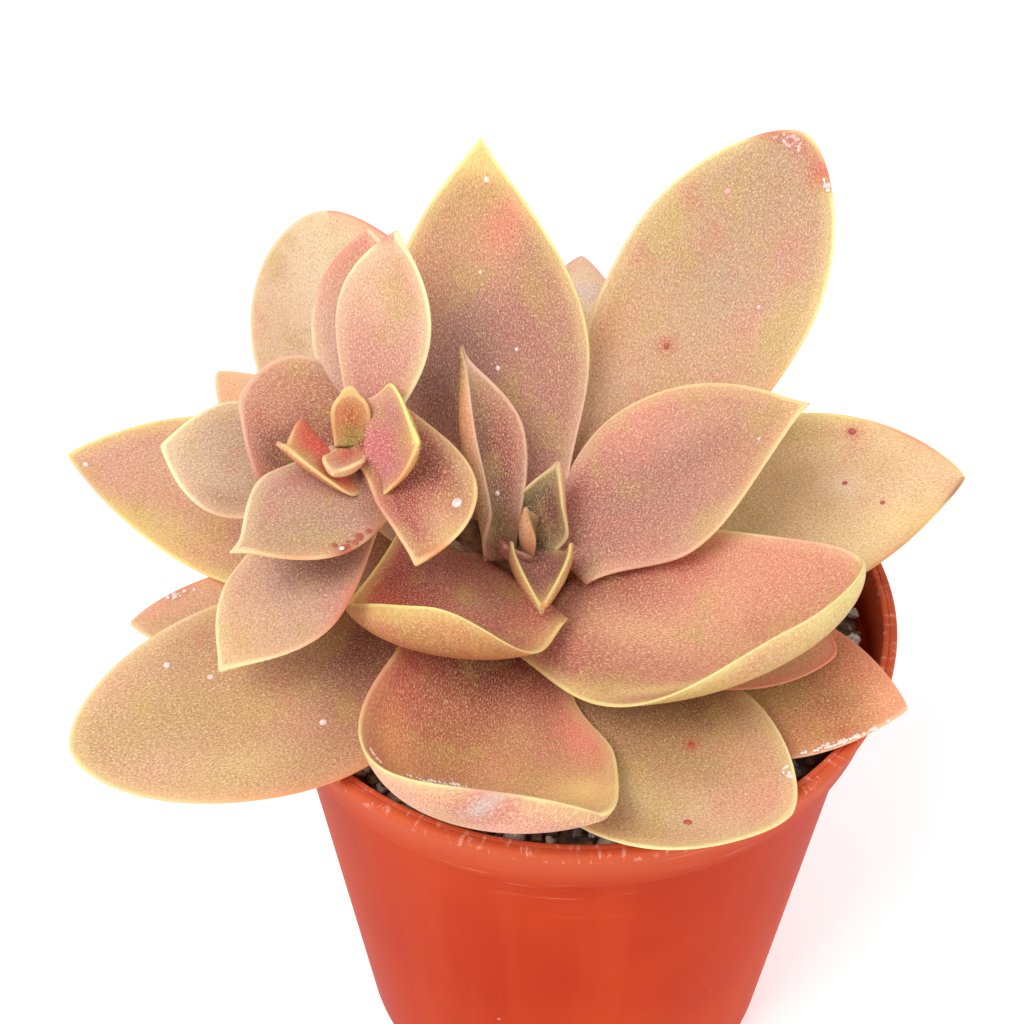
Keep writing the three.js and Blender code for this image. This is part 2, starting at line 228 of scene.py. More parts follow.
pot_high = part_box("pot")[1] * 1000
RIM_RADIUS = pot_high.x
POT_HEIGHT = pot_high.z
BASE_RADIUS = 31.5
SHOULDER_RADIUS = 41.1
COLLAR_HEIGHT = 9.3
COLLAR_STEP = 1.9
POT_WALL = 1
POT_FLOOR = 1.6
POT_SIDES = 192
DRAIN_HOLES = 6
DRAIN_RADIUS = 3.5
DRAIN_CIRCLE = 19
SHOULDER = POT_HEIGHT - COLLAR_HEIGHT


def body_radius(height):
    """The pot's outer radius at a height on its body, below the collar."""
    return BASE_RADIUS + (SHOULDER_RADIUS - BASE_RADIUS) * height / SHOULDER


def rounded(corners, steps=4):
    """A profile with its corners rounded. Each corner is a radius, a height and how far from it the
    round starts, which is at most half the way to the next corner."""
    spots = np.array([corner[:2] for corner in corners], float)
    line = [spots[0]]
    for i in range(1, len(spots) - 1):
        before, here, after = spots[i - 1 : i + 2]
        back = before - here
        ahead = after - here
        reach = min(corners[i][2], np.linalg.norm(back) / 2, np.linalg.norm(ahead) / 2)
        first = here + back / np.linalg.norm(back) * reach
        last = here + ahead / np.linalg.norm(ahead) * reach
        for t in np.linspace(0, 1, steps + 1):
            line.append((1 - t) ** 2 * first + 2 * t * (1 - t) * here + t**2 * last)
    line.append(spots[-1])
    return np.array(line)


def turned(profile, sides, wobble=0):
    """Points and faces of a solid turned about Z from a profile that starts and ends on the axis.
    wobble is how far it is out of round."""
    angles = np.arange(sides) * 2 * math.pi / sides
    rings = profile[1:-1]
    out = 1 + wobble * np.sin(2 * angles + 0.7) + 0.6 * wobble * np.sin(5 * angles)
    radii = rings[:, :1] * out
    points = np.stack([radii * np.cos(angles), radii * np.sin(angles), radii * 0 + rings[:, 1:]], -1)
    poles = [(0, 0, profile[0, 1]), (0, 0, profile[-1, 1])]
    points = np.concatenate([points.reshape(-1, 3), poles])
    return points, ring_faces(len(rings), sides)


def ring_faces(rings, sides):
    """Faces between closed rings of points, numbered ring by ring, and two poles numbered last."""
    faces = []
    first_pole = rings * sides
    for side in range(sides):
        after = (side + 1) % sides
        faces.append((first_pole, after, side))
        for ring in range(rings - 1):
            low = ring * sides
            high = low + sides
            faces.append((low + side, low + after, high + after, high + side))
        last = (rings - 1) * sides
        faces.append((first_pole + 1, last + side, last + after))
    return faces


collar_low = SHOULDER_RADIUS + COLLAR_STEP
pot_profile = rounded([
    (0, 0.9, 0),
    (BASE_RADIUS - 7, 0.9, 0.5),
    (BASE_RADIUS - 6, 0, 0.5),
    (BASE_RADIUS - 2.3, 0, 0.8),
    (BASE_RADIUS - 0.5, 1.2, 1),
    (body_radius(3), 3, 1.2),
    (body_radius(40), 40, 4),
    (SHOULDER_RADIUS, SHOULDER, 0.7),
    (collar_low, SHOULDER + 0.3, 0.5),
    (RIM_RADIUS - 0.75, POT_HEIGHT - 2.4, 0.6),
    (RIM_RADIUS - 0.7, POT_HEIGHT - 2.0, 0.2),
    (RIM_RADIUS, POT_HEIGHT - 1.8, 0.4),
    (RIM_RADIUS, POT_HEIGHT, 0.8),
    (RIM_RADIUS - 1.0, POT_HEIGHT, 0.2),
    (RIM_RADIUS - 1.15, POT_HEIGHT - 0.22, 0.15),
    (RIM_RADIUS - 1.3, POT_HEIGHT, 0.2),
    (RIM_RADIUS - 2.0, POT_HEIGHT, 0.4),
    (RIM_RADIUS - 2.1, POT_HEIGHT - 1.6, 0.5),
    (collar_low - POT_WALL, SHOULDER + 1, 0.6),
    (SHOULDER_RADIUS - POT_WALL, SHOULDER - 0.8, 0.6),
    (body_radius(POT_FLOOR) - POT_WALL - 0.4, POT_FLOOR + 1, 1),
    (body_radius(POT_FLOOR) - POT_WALL - 2.5, POT_FLOOR + 0.9, 1),
    (0, POT_FLOOR + 0.9, 0),
])


def pot_plastic():
    """Semi-gloss orange plastic: a little faded, dusted with mix, scuffed where hands hold the rim."""
    f = Finish("pot plastic")
    place = f.object_place()
    split = f.node("SeparateXYZ", {}, {"Vector": place}, "X")
    y = Signal(f, split.socket.node.outputs["Y"])
    z = Signal(f, split.socket.node.outputs["Z"])
    turn = f.node("Math", {"operation": "ARCTAN2"}, {0: y, 1: split})
    round_pot = f.node("CombineXYZ", {}, {"X": turn, "Y": z * 22, "Z": (split * split + y * y) ** 0.5 * 22})

    clouds = f.noise(place, 26, 3)
    tone = f.blend(clouds.rise(0.3, 0.7), colour("b22e0a"), colour("c03c12"))
    streaks = f.noise(f.stretched(round_pot, 3.2, 0.25, 0.5), 1.6, 3)
    tone = f.blend(streaks.rise(0.5, 0.75) * 0.35, tone, colour("c8461c"))
    faded = z.rise(0.0725, 0.0805)
    tone = f.blend(faded * 0.6, tone, colour("d26846"))

    scratch = f.noise(f.stretched(round_pot, 2.4, 60, 20), 1.3, 2)
    worn = f.noise(place, 70, 2).rise(0.42, 0.62)
    high = z.rise(0.060, 0.074)
    marks = scratch.rise(0.58, 0.7) * worn * high * 0.4
    tone = f.blend(marks, tone, colour("f0a890"))
    rim = z.rise(0.0798, 0.0812)
    scuff = f.noise(f.stretched(round_pot, 40, 16, 16), 1.4, 4, 0.7).rise(0.54, 0.68)
    tone = f.blend(rim * scuff * 0.5, tone, colour("f0bca8"))

    specks = f.node("TexVoronoi", {}, {"Vector": place, "Scale": 300, "Randomness": 1})
    rare = f.noise(place, 240, 0).rise(0.76, 0.8)
    dust = specks.rise(0.2, 0.1) * rare
    tone = f.blend(dust * 0.7, tone, colour("f8d4c4"))

    rough = 0.36 + 0.15 * clouds + 0.25 * marks + 0.3 * dust + 0.15 * rim
    height = 0.5 * streaks + 0.15 * scratch + 0.4 * dust
    bump = f.node("Bump", {}, {"Strength": 0.25, "Distance": 0.0003, "Height": height})
    return f.close(Base_Color=tone, Roughness=rough, Normal=bump, IOR=1.2, Specular_IOR_Level=0.12)


points, faces = turned(pot_profile, POT_SIDES, 0.0012)
pot = plain_mesh("moulded_pot", points, faces, pot_plastic())
drills = []
for i in range(DRAIN_HOLES):
    angle = 2 * math.pi * i / DRAIN_HOLES
    drill_profile = np.array([(0, -2), (DRAIN_RADIUS, -2), (DRAIN_RADIUS, 5), (0, 5)], float)
    points, faces = turned(drill_profile, 32)
    points += (DRAIN_CIRCLE * math.cos(angle), DRAIN_CIRCLE * math.sin(angle), 0)
    drills.append((points, faces))
drill_points = np.concatenate([points for points, faces in drills])
drill_faces = []
for i, (points, faces) in enumerate(drills):
    drill_faces += [tuple(corner + i * len(points) for corner in face) for face in faces]
drill = plain_mesh("drills", drill_points, drill_faces, pot.data.materials[0])
cut = pot.modifiers.new("drain holes", "BOOLEAN")
cut.object = drill
cut.operation = "DIFFERENCE"
cut.solver = "MANIFOLD"


def settled(piece):
    """The piece's mesh with its modifiers worked in, and the modifiers removed."""
    view = bpy.context.evaluated_depsgraph_get()
    mesh = bpy.data.meshes.new_from_object(piece.evaluated_get(view))
    piece.modifiers.clear()
    piece.data = mesh
    return piece


settled(pot)
bpy.data.objects.remove(drill)
belongs(pot, "pot_plastic", "pot")


# Potting mix
# Peaty soil fills the pot, with pale pumice, grey gravel and brown crumbs lying loose on top. It is
# mounded a little round the stem, and watering has washed it up against the pot's wall.

MIX_LEVEL = 73.5
MIX_CROWN = 2.2
MIX_GAP = 0.4
GRAIN_HEAP = 4.2
HEAP_START = 26
HEAP_WIDTH = 10
BED_HEAP_SHARE = 0.8
BED_FLARE = 0.03
FLARE_START = 36
FLARE_WIDTH = 3
STEM_CLEARING = 6.2
MIX_SIDES = 144
STEM_FOOT = (-3.4, 0)
GRIT = {
    "pumice_grains": dict(tone="f6f2ea", dark="c4bcb2", count=540, small=1.3, large=3.2, seed=3),
    "gravel_grains": dict(tone="b8b4b0", dark="7c7a78", count=340, small=0.8, large=2.3, seed=8),
    "soil_crumbs": dict(tone="94785f", dark="54402f", count=560, small=0.6, large=1.8, seed=21),
}


def mix_height(radius):
    """The height of the potting mix's mounded top at a distance from the pot's middle."""
    return MIX_LEVEL + MIX_CROWN * (1 - (radius / SHOULDER_RADIUS) ** 2)


def heap(radius):
    """How much higher the loose grains lie near the pot's wall."""
    return GRAIN_HEAP * np.clip((radius - HEAP_START) / HEAP_WIDTH, 0, 1)


def grainy(name, light, dark, scale, rough=0.95):
    """A dry mineral or soil: two tones in patches, with a rough surface."""
    f = Finish(name)
    place = f.object_place()
    patches = f.noise(place, scale, 4, 0.65)
    fine = f.noise(place, scale * 6, 3, 0.7)
    tone = f.blend(patches.rise(0.35, 0.65), colour(dark), colour(light))
    tone = f.blend(fine.rise(0.45, 0.75) * 0.4, tone, colour(light))
    height = patches + 0.4 * fine
    bump = f.node("Bump", {}, {"Strength": 0.7, "Distance": 0.0004, "Height": height})
    return f.close(Base_Color=tone, Roughness=rough, Normal=bump)


mix_foot = POT_FLOOR + 0.9 + MIX_GAP
mix_wall = [(body_radius(z) - POT_WALL - MIX_GAP - extra, z) for z, extra in
            [(mix_foot, 3.4), (mix_foot + 2, 1.2), (SHOULDER - 1.2, 0)]]
mix_top = [(share * mix_wall[-1][0], mix_height(share * mix_wall[-1][0]))
           for share in np.linspace(0.985, 0.01, 50)]
mix_profile = np.array([(0, mix_foot), *mix_wall, *mix_top, (0, mix_height(0))], float)
points, faces = turned(mix_profile, MIX_SIDES)
lumps = np.sin(points[:, 0] * 0.9) * np.sin(points[:, 1] * 1.1 + 1)
lumps += 0.6 * np.sin(points[:, 0] * 2.3 + 2) * np.sin(points[:, 1] * 2.1)
on_top = points[:, 2] > SHOULDER - 1
points[on_top, 2] += 0.45 * lumps[on_top]
top_radius = np.hypot(points[on_top, 0], points[on_top, 1])
points[on_top, 2] += BED_HEAP_SHARE * heap(top_radius)
flare = np.clip(top_radius - FLARE_START, 0, FLARE_WIDTH)[:, None] / FLARE_WIDTH
points[on_top, :2] *= 1 + BED_FLARE * flare
soil = plain_mesh("soil_bed", points, faces, grainy("potting soil", "8c7464", "4a382c", 420))
belongs(soil, "potting_mix", "potting_mix")


def grain_tree(finish):
    """Geometry nodes that strew rough stones over a surface."""
    tree = bpy.data.node_groups.new("strewn grains", "GeometryNodeTree")
    tree.interface.new_socket("Ground", in_out="INPUT", socket_type="NodeSocketGeometry")
    for name, kind in [("Grains per square metre", "Float"), ("Smallest", "Float"), ("Largest", "Float"),
                       ("Seed", "Int")]:
        tree.interface.new_socket(name, in_out="INPUT", socket_type="NodeSocket" + kind)
    tree.interface.new_socket("Grains", in_out="OUTPUT", socket_type="NodeSocketGeometry")

    def node(kind, inputs, output=0, **settings):
        made = tree.nodes.new(kind)
        for name, value in settings.items():
            setattr(made, name, value)
        for name, value in inputs.items():
            if isinstance(value, bpy.types.NodeSocket):
                tree.links.new(value, made.inputs[name])
            else:
                made.inputs[name].default_value = value
        return made.outputs[output]

    given = tree.nodes.new("NodeGroupInput").outputs
    strewn = {"Mesh": given["Ground"], "Density": given["Grains per square metre"], "Seed": given["Seed"]}
    spots = node("GeometryNodeDistributePointsOnFaces", strewn)
    stone = node("GeometryNodeMeshIcoSphere", {"Radius": 0.5, "Subdivisions": 3})
    knocks = node("ShaderNodeTexNoise", {"Scale": 1.9, "Detail": 1.5}, "Color")
    centred = node("ShaderNodeVectorMath", {0: knocks, 1: (0.5, 0.5, 0.5)}, operation="SUBTRACT")
    dents = node("ShaderNodeVectorMath", {0: centred, "Scale": 1.1}, operation="SCALE")
    stone = node("GeometryNodeSetPosition", {"Geometry": stone, "Offset": dents})
    any_turn = {1: (6.3, 6.3, 6.3), "Seed": given["Seed"]}
    turn = node("FunctionNodeRandomValue", any_turn, data_type="FLOAT_VECTOR")
    any_size = {2: given["Smallest"], 3: given["Largest"], "Seed": given["Seed"]}
    size = node("FunctionNodeRandomValue", any_size, 1)
    placed = node("GeometryNodeInstanceOnPoints",
                  {"Points": spots, "Instance": stone, "Rotation": turn, "Scale": size})
    real = node("GeometryNodeRealizeInstances", {"Geometry": placed})
    smooth = node("GeometryNodeSetShadeSmooth", {"Geometry": real})
    coated = node("GeometryNodeSetMaterial", {"Geometry": smooth, "Material": finish})
    tree.links.new(coated, tree.nodes.new("NodeGroupOutput").inputs[0])
    return tree


def strewn_ground(outer, inner):
    """The bed's top as an open ring round the stem, for grains to lie on."""
    sides = 60
    rings = np.linspace(inner, outer, 16)
    angles = np.arange(sides) * 2 * math.pi / sides
    x = rings[:, None] * np.cos(angles) + STEM_FOOT[0] * (1 - rings[:, None] / outer)
    y = rings[:, None] * np.sin(angles) + STEM_FOOT[1] * (1 - rings[:, None] / outer)
    points = np.stack([x, y, mix_height(np.hypot(x, y)) + heap(np.hypot(x, y)) + 0.25], -1).reshape(-1, 3)
    faces = []
    for ring in range(len(rings) - 1):
        for side in range(sides):
            after = (side + 1) % sides
            low, high = ring * sides, (ring + 1) * sides
            faces.append((low + side, high + side, high + after, low + after))
    return points, faces


for grain_name, grit in GRIT.items():
    stone_finish = grainy(grain_name.replace("_", " "), grit["tone"], grit["dark"], 900)
    outer = collar_low - POT_WALL - 0.5 - grit["large"] / 2
    points, faces = strewn_ground(outer, STEM_CLEARING)
    grains = plain_mesh(grain_name, points, faces, stone_finish)
    strew = grains.modifiers.new("grains", "NODES")
    strew.node_group = grain_tree(stone_finish)
    area = math.pi * (outer / 1000) ** 2
    values = {"Grains per square metre": grit["count"] / area, "Smallest": grit["small"] / 1000,
              "Largest": grit["large"] / 1000, "Seed": grit["seed"]}
    for socket in strew.node_group.interface.items_tree:
        if socket.name in values:
            strew[socket.identifier] = values[socket.name]
    belongs(settled(grains), "potting_mix")


# Stem
# The plant's short woody stem rises out of the mix and forks: the offset rosette grows on a stalk of
# its own. Fallen leaves have left ring-like scars in the dull bark.

STEMS = [
    dict(line=[(-3, 1, 55), (-3.5, 0, 74), (-5, -4, 88), (-5, -4.5, 96)], low=4.8, high=3.4),
    dict(line=[(-5, -3, 90), (-12, 1, 93.5), (-22, 3, 99.5), (-28, -1, 107), (-29.5, -3, 113)],
         low=2.8, high=2.4),
]
STEM_RINGS = 120
STEM_SIDES = 40


def smooth_line(knots, count):
    """Even points along a smooth line through the knots."""
    knots = np.array(knots, float)
    ends = [2 * knots[0] - knots[1], *knots, 2 * knots[-1] - knots[-2]]
    line = []
    for before, first, last, after in zip(ends, ends[1:], ends[2:], ends[3:]):
        for t in np.linspace(0, 1, 40, endpoint=False):
            line.append(0.5 * (2 * first + (last - before) * t
                               + (2 * before - 5 * first + 4 * last - after) * t**2
                               + (3 * first - before - 3 * last + after) * t**3))
    line = np.array([*line, knots[-1]])
    run = np.concatenate([[0], np.cumsum(np.linalg.norm(np.diff(line, axis=0), axis=1))])
    even = np.linspace(0, run[-1], count)
    return np.stack([np.interp(even, run, line[:, i]) for i in range(3)], 1), even


def stem_mesh(line, low, high):
    """Points and faces of a scarred, grooved stalk along a line, from its low radius to its high one."""
    spots, run = smooth_line(line, STEM_RINGS)
    ahead = np.gradient(spots, axis=0)
    ahead /= np.linalg.norm(ahead, axis=1, keepdims=True)
    side = np.cross(ahead, (0.31, 0.95, 0.02))
    side /= np.linalg.norm(side, axis=1, keepdims=True)
    over = np.cross(ahead, side)
    angles = np.arange(STEM_SIDES) * 2 * math.pi / STEM_SIDES
    radius = np.linspace(low, high, STEM_RINGS)[:, None]
    scars = np.abs(np.sin(run[:, None] * 1.15 + 0.8 * np.sin(angles * 2 + run[:, None] * 0.4))) ** 6
    grooves = np.sin(angles * 9 + 1.5 * np.sin(run[:, None] * 0.6))
    radius = radius * (1 - 0.05 * scars + 0.015 * grooves)
    rings = spots[:, None] + radius[..., None] * (
        np.cos(angles)[None, :, None] * side[:, None] + np.sin(angles)[None, :, None] * over[:, None])
    points = np.concatenate([rings.reshape(-1, 3), spots[[0, -1]]])
    return points, ring_faces(STEM_RINGS, STEM_SIDES)


stem_points, stem_faces = [], []
for stem in STEMS:
    points, faces = stem_mesh(**stem)
    stem_faces += [tuple(corner + sum(map(len, stem_points)) for corner in face) for face in faces]
    stem_points.append(points)
stem = plain_mesh("branched_stem", np.concatenate(stem_points), stem_faces,
                  grainy("stem bark", "a5835c", "5e4630", 330, 0.85))
belongs(stem, "stem_bark", "stem")


# Leaves
# Thick blades full of water under a waxy skin of tiny glistening bumps. Each grows out beside its
# rosette's axis, along a straight line to its tip, and turns its margins up like a shallow boat.

OLIVE_GOLD = "c4a458"
CORAL_ROSE = "d06e68"
MAUVE = "b07f7a"
DARK_FLECK = "7c4638"
PALE_FLECK = "fbe6b4"

# Places and sizes are in millimetres and turns in degrees. even is the left side's share of the width,
# curl how far the blade bends up from root to tip, late how near the tip it does so, left and right how
# far the sides turn up, fold where along the leaf they are fully up, hem how near the margin they bend,
# roll the turn about the leaf's length, bow its sideways curve, neck the width at the root, widest where
# the leaf is widest, point how pointed its end is, thick its thickness, out how far from the axis it
# starts, and mucro the length of the small point at its tip.
PLAIN_LEAF = dict(even=0.5, curl=20, late=1, left=16, right=16, fold=0.7, hem=1, roll=0, bow=0,
                  neck=0.4, widest=0.58, point=0.7, thick=2.6, out=4.5, mucro=0.4)
PLAIN_PAINT = dict(root="c8696a", middle="cf9f74", tip="dcbc68", side="cf9f74", under="eeb48e",
                   lip="e2814f", margin="f4e2a0", blots=[], under_blots=[], margin_blots=[])
RIB_STEPS = 60
ARC_STEPS = 16
MARGIN = 0.3
UPPER_SHARE = 0.15
ROOT_THINNING = 0.45
TIP_THINNING = 0.35
SWELL = 0.22
RING_GAP = 0.5
SIDE_GAP = 0.62
TIP_CROWDING = 1.8
SIDE_EVENING = 0.15
FLAT_SPAN = 100


def tone(code):
    """The linear red, green and blue of a colour, as an array."""
    return np.array(colour(code)[:3])


def smooth_rise(t):
    """0 up to 0, 1 from 1 on, and smooth between."""
    t = np.clip(t, 0, 1)
    return t * t * (3 - 2 * t)


class Leaf:
    """The form of one leaf. Its keys say where the blade ends and how wide, cupped and curled it is."""

    def __init__(self, axis, **form):
        self.__dict__.update(PLAIN_LEAF)
        self.__dict__.update(form)
        tip = np.array(self.tip, float)
        if "start" in form:
            side = math.radians(self.start)
        else:
            side = math.atan2(tip[1] - axis[1], tip[0] - axis[0])
        away = (self.out * math.cos(side), self.out * math.sin(side))
        self.foot = np.array([axis[0] + away[0], axis[1] + away[1], self.root])
        chord = tip - self.foot
        self.length = np.linalg.norm(chord)
        heading = Matrix.Rotation(math.atan2(chord[1], chord[0]), 3, "Z")
        lean = Matrix.Rotation(-math.asin(chord[2] / self.length), 3, "Y")
        self.turn = np.array(heading @ lean)

    def share_of_width(self, along):
        """The width at a place along the leaf, as a share of its widest."""
        rise = (0.5 - 0.5 * np.cos(np.pi * np.minimum(along / self.widest, 1))) ** 0.8
        fall = np.clip((along - self.widest) / (1 - self.widest), 0, 1)
        wide = self.neck + (1 - self.neck) * rise
        return np.where(along < self.widest, wide, np.cos(np.pi / 2 * fall) ** self.point)

    def half_width(self, along, left):
        """How far the margin is from the middle line, on the left or the right."""
        return self.width * np.where(left, self.even, 1 - self.even) * self.share_of_width(along)

    def rib(self, along):
        """Where the middle line runs, ahead and up as shares of the leaf's length, and its slope."""
        slopes = math.radians(self.curl) * ((np.arange(RIB_STEPS) + 0.5) / RIB_STEPS) ** self.late
        rib_x = np.concatenate([[0], np.cumsum(np.cos(slopes))])
        rib_z = np.concatenate([[0], np.cumsum(np.sin(slopes))])
        size = math.hypot(rib_x[-1], rib_z[-1])
        lean = math.atan2(rib_z[-1], rib_x[-1])
        knots = np.linspace(0, 1, RIB_STEPS + 1)
        x = np.interp(along, knots, rib_x) / size
        z = np.interp(along, knots, rib_z) / size
        slope = math.radians(self.curl) * along**self.late - lean
        x, z = x * math.cos(lean) + z * math.sin(lean), z * math.cos(lean) - x * math.sin(lean)
        return x, z, slope

    def ways(self, along, slope):
        """The directions forward, to the left and up at places along the leaf."""
        veer = np.arctan(4 * self.bow * (1 - 2 * along))
        nothing = np.zeros_like(along)
        ahead = np.stack([np.cos(slope), nothing, np.sin(slope)], -1)
        aside = np.stack([nothing, nothing + 1, nothing], -1)
        forward = ahead * np.cos(veer)[..., None] + aside * np.sin(veer)[..., None]
        level = aside * np.cos(veer)[..., None] - ahead * np.sin(veer)[..., None]
        roll = math.radians(self.roll)
        over = np.cross(forward, level)
        sideways = level * math.cos(roll) + over * math.sin(roll)
        return forward, sideways, np.cross(forward, sideways)

    def lift(self, along, across, rise):
        """How far the skin stands off the blade's middle: up for a rise over 0, and else down."""
        full = self.thick * np.interp(along, [0, 0.3], [ROOT_THINNING, 1]) * (1 - TIP_THINNING * along)
        full = full * np.sqrt(np.maximum(0, 1 - along**3))
        above = MARGIN + UPPER_SHARE * full
        below = MARGIN + (1 - UPPER_SHARE) * full * (1 - np.abs(across) ** 2.4)
        lift = np.where(rise > 0, above, -below) * np.abs(rise) ** 0.6
        x, y = self.flat(along, across)
        waves = np.sin(x / 8 + self.length) * np.sin(y / 6 + self.width)
        waves += 0.5 * np.sin(x / 3.7 + 2) * np.sin(y / 4.1 + self.length)
        return lift + SWELL * waves * smooth_rise(along / 0.3)

    def skin(self, along, across, rise):
        """Points of the skin and its outward directions. along runs from 0 at the root to 1 at the tip,
        across from -1 at the right margin to 1 at the left, and rise from -1 below to 1 above."""
        x, z, slope = self.rib(along)
        forward, sideways, up = self.ways(along, slope)
        left = across > 0
        side = np.sign(across)
        edge = np.abs(across)
        half = self.half_width(along, left)
        cup = np.radians(np.where(left, self.left, self.right)) * smooth_rise(along / self.fold)
        spot = np.stack([x, 4 * self.bow * along * (1 - along), z], -1) * self.length
        for i in range(ARC_STEPS):
            bend = cup * (edge * (i + 0.5) / ARC_STEPS) ** self.hem
            spot = spot + sideways * (side * half * edge * np.cos(bend) / ARC_STEPS)[..., None]
            spot = spot + up * (half * edge * np.sin(bend) / ARC_STEPS)[..., None]
        bend = cup * edge**self.hem
        normal = up * np.cos(bend)[..., None] - sideways * (side * np.sin(bend))[..., None]
        spot = spot + normal * self.lift(along, across, rise)[..., None]
        spot = spot + forward * (self.mucro * np.clip((along - 0.9) / 0.1, 0, 1) ** 4)[..., None]
        return spot @ self.turn.T + self.foot, normal @ self.turn.T

    def flat(self, along, across):
        """Where a point lies on the blade laid flat, in millimetres along and to the left."""
        return along * self.length, across * self.half_width(along, across > 0)


def from_margin(leaf, x, y):
    """How far points of the flat blade are from its margin, in millimetres."""
    along = 1 - (1 - np.linspace(0.02, 1, 300)) ** TIP_CROWDING
    left = np.stack(leaf.flat(along, along * 0 + 1), -1)
    right = np.stack(leaf.flat(along, along * 0 - 1), -1)
    outline = np.concatenate([left, right[::-1]])
    gap = np.hypot(x[..., None] - outline[:, 0], y[..., None] - outline[:, 1])
    return gap.min(-1)


def blotted(leaf, skin, blots, x, y):
    """Colours of a skin with soft blots. Each has a place, a length and width, a colour and a strength."""
    for blot_along, blot_across, long, wide, code, strength in blots:
        blot_x, blot_y = leaf.flat(np.array(blot_along), np.array(blot_across))
        near = np.exp(-(((x - blot_x) / long) ** 2) - ((y - blot_y) / wide) ** 2)
        skin = skin + (tone(code) - skin) * (strength * near)[..., None]
    return skin


def painted(leaf, paint, along, across, upper, x, y):
    """The broad colours of a leaf's skin: from root to tip, towards its sides, its blots, and below."""
    # The root stops are darker partly in the leaves' own colour and partly as painted shade, deep in the
    # rosette where the leaves crowd together.
    stops = np.array([tone(paint[name]) for name in ("root", "middle", "tip")])
    skin = np.stack([np.interp(along, [0.15, 0.55, 0.95], stops[:, i]) for i in range(3)], -1)
    skin += (tone(paint["side"]) - skin) * (0.7 * np.abs(across) ** 3)[..., None]
    skin = blotted(leaf, skin, paint["blots"], x, y)
    near_margin = smooth_rise((np.abs(across) - 0.7) / 0.25)[..., None]
    below = tone(paint["under"]) * (1 - near_margin) + tone(paint["lip"]) * near_margin
    below = blotted(leaf, below, paint["under_blots"], x, y)
    return np.where(upper[..., None], skin, below)


def margin_painted(paint, along, across):
    """The colours of the line along a leaf's margin. A blot's side is 1 for left and -1 for right."""
    line = np.broadcast_to(tone(paint["margin"]), along.shape + (3,)).copy()
    for blot_along, side, long, code, strength in paint["margin_blots"]:
        near = np.exp(-(((along - blot_along) / long) ** 2)) * (across * side > 0)
        line += (tone(code) - line) * (strength * near)[..., None]
    return line


def leaf_skin(name, glow):
    """Waxy skin of fine glistening bumps. It is painted by the mesh's own colours, and has a pale line
    along its margin."""
    f = Finish(name)
    flat = f.node("UVMap", {"uv_map": "blade"}, {})
    place = f.object_place()
    skin = f.attribute("skin", "Color")
    line = f.attribute("line", "Color")
    inside = f.attribute("inside")

    mottle = f.noise(place, 150, 3, 0.6)
    patches = f.noise(place, 420, 3, 0.65)
    skin = f.blend(mottle.rise(0.5, 0.7) * 0.42, skin, colour(OLIVE_GOLD))
    skin = f.blend(mottle.rise(0.44, 0.24) * 0.36, skin, colour(CORAL_ROSE))
    skin = f.blend(patches.rise(0.55, 0.8) * 0.12, skin, colour(MAUVE))

    flecks = f.noise(f.stretched(flat, 0.6, 1, 1), 540, 2.5, 0.62, 0.6)
    skin = f.blend(flecks.rise(0.5, 0.34) * 0.36, skin, colour(DARK_FLECK), "MULTIPLY")
    skin = f.blend(flecks.rise(0.5, 0.66) * 0.5, skin, colour(PALE_FLECK))

    ragged = inside + (f.noise(place, 500, 2) - 0.5) * 0.4
    uneven = f.noise(place, 110, 2).rise(0.35, 0.6)
    skin = f.blend(ragged.rise(2.6, 0.4) * 0.3, skin, line)
    hem = ragged.rise(0.6, 0.15)
    skin = f.blend(hem * (0.65 + 0.35 * uneven), skin, line)

    rough = 0.5 + 0.15 * flecks
    height = flecks * (1 - 0.7 * hem) + 0.5 * patches
    bump = f.node("Bump", {}, {"Strength": 0.3, "Distance": 0.0002, "Height": height})
    return f.close(Base_Color=skin, Roughness=rough, Normal=bump, Subsurface_Weight=glow,
                   Subsurface_Radius=(1, 0.45, 0.3), Subsurface_Scale=0.0022, Specular_IOR_Level=0.45)


LEAF_SKIN = leaf_skin("leaf skin", 0.25)
YOUNG_SKIN = leaf_skin("young leaf skin", 0.3)


def coloured(mesh, label, rows):
    """Keeps one colour for each point of the mesh, under a label that its finish reads."""
    layer = mesh.color_attributes.new(label, "FLOAT_COLOR", "POINT")
    rows = np.concatenate([rows, np.ones((len(rows), 1))], 1)
    layer.data.foreach_set("color", rows.astype(np.float32).ravel())


def blade_grid(leaf):
    """Rings of places on a leaf's skin from root to tip, closer together near the tip and the margins:
    their shares along and across it, and their rise."""
    rings = int(np.clip(leaf.length / RING_GAP, 40, 130))
    sides = 2 * int(np.clip(leaf.width / SIDE_GAP, 16, 56))
    step = np.arange(sides) * 2 * math.pi / sides
    section = step + SIDE_EVENING * np.sin(2 * step)
    along = 1 - (1 - np.arange(1, rings + 1) / (rings + 1)) ** TIP_CROWDING
    along, section = np.meshgrid(np.concatenate([[0], along]), section, indexing="ij")
    return along, np.cos(section), np.sin(section)


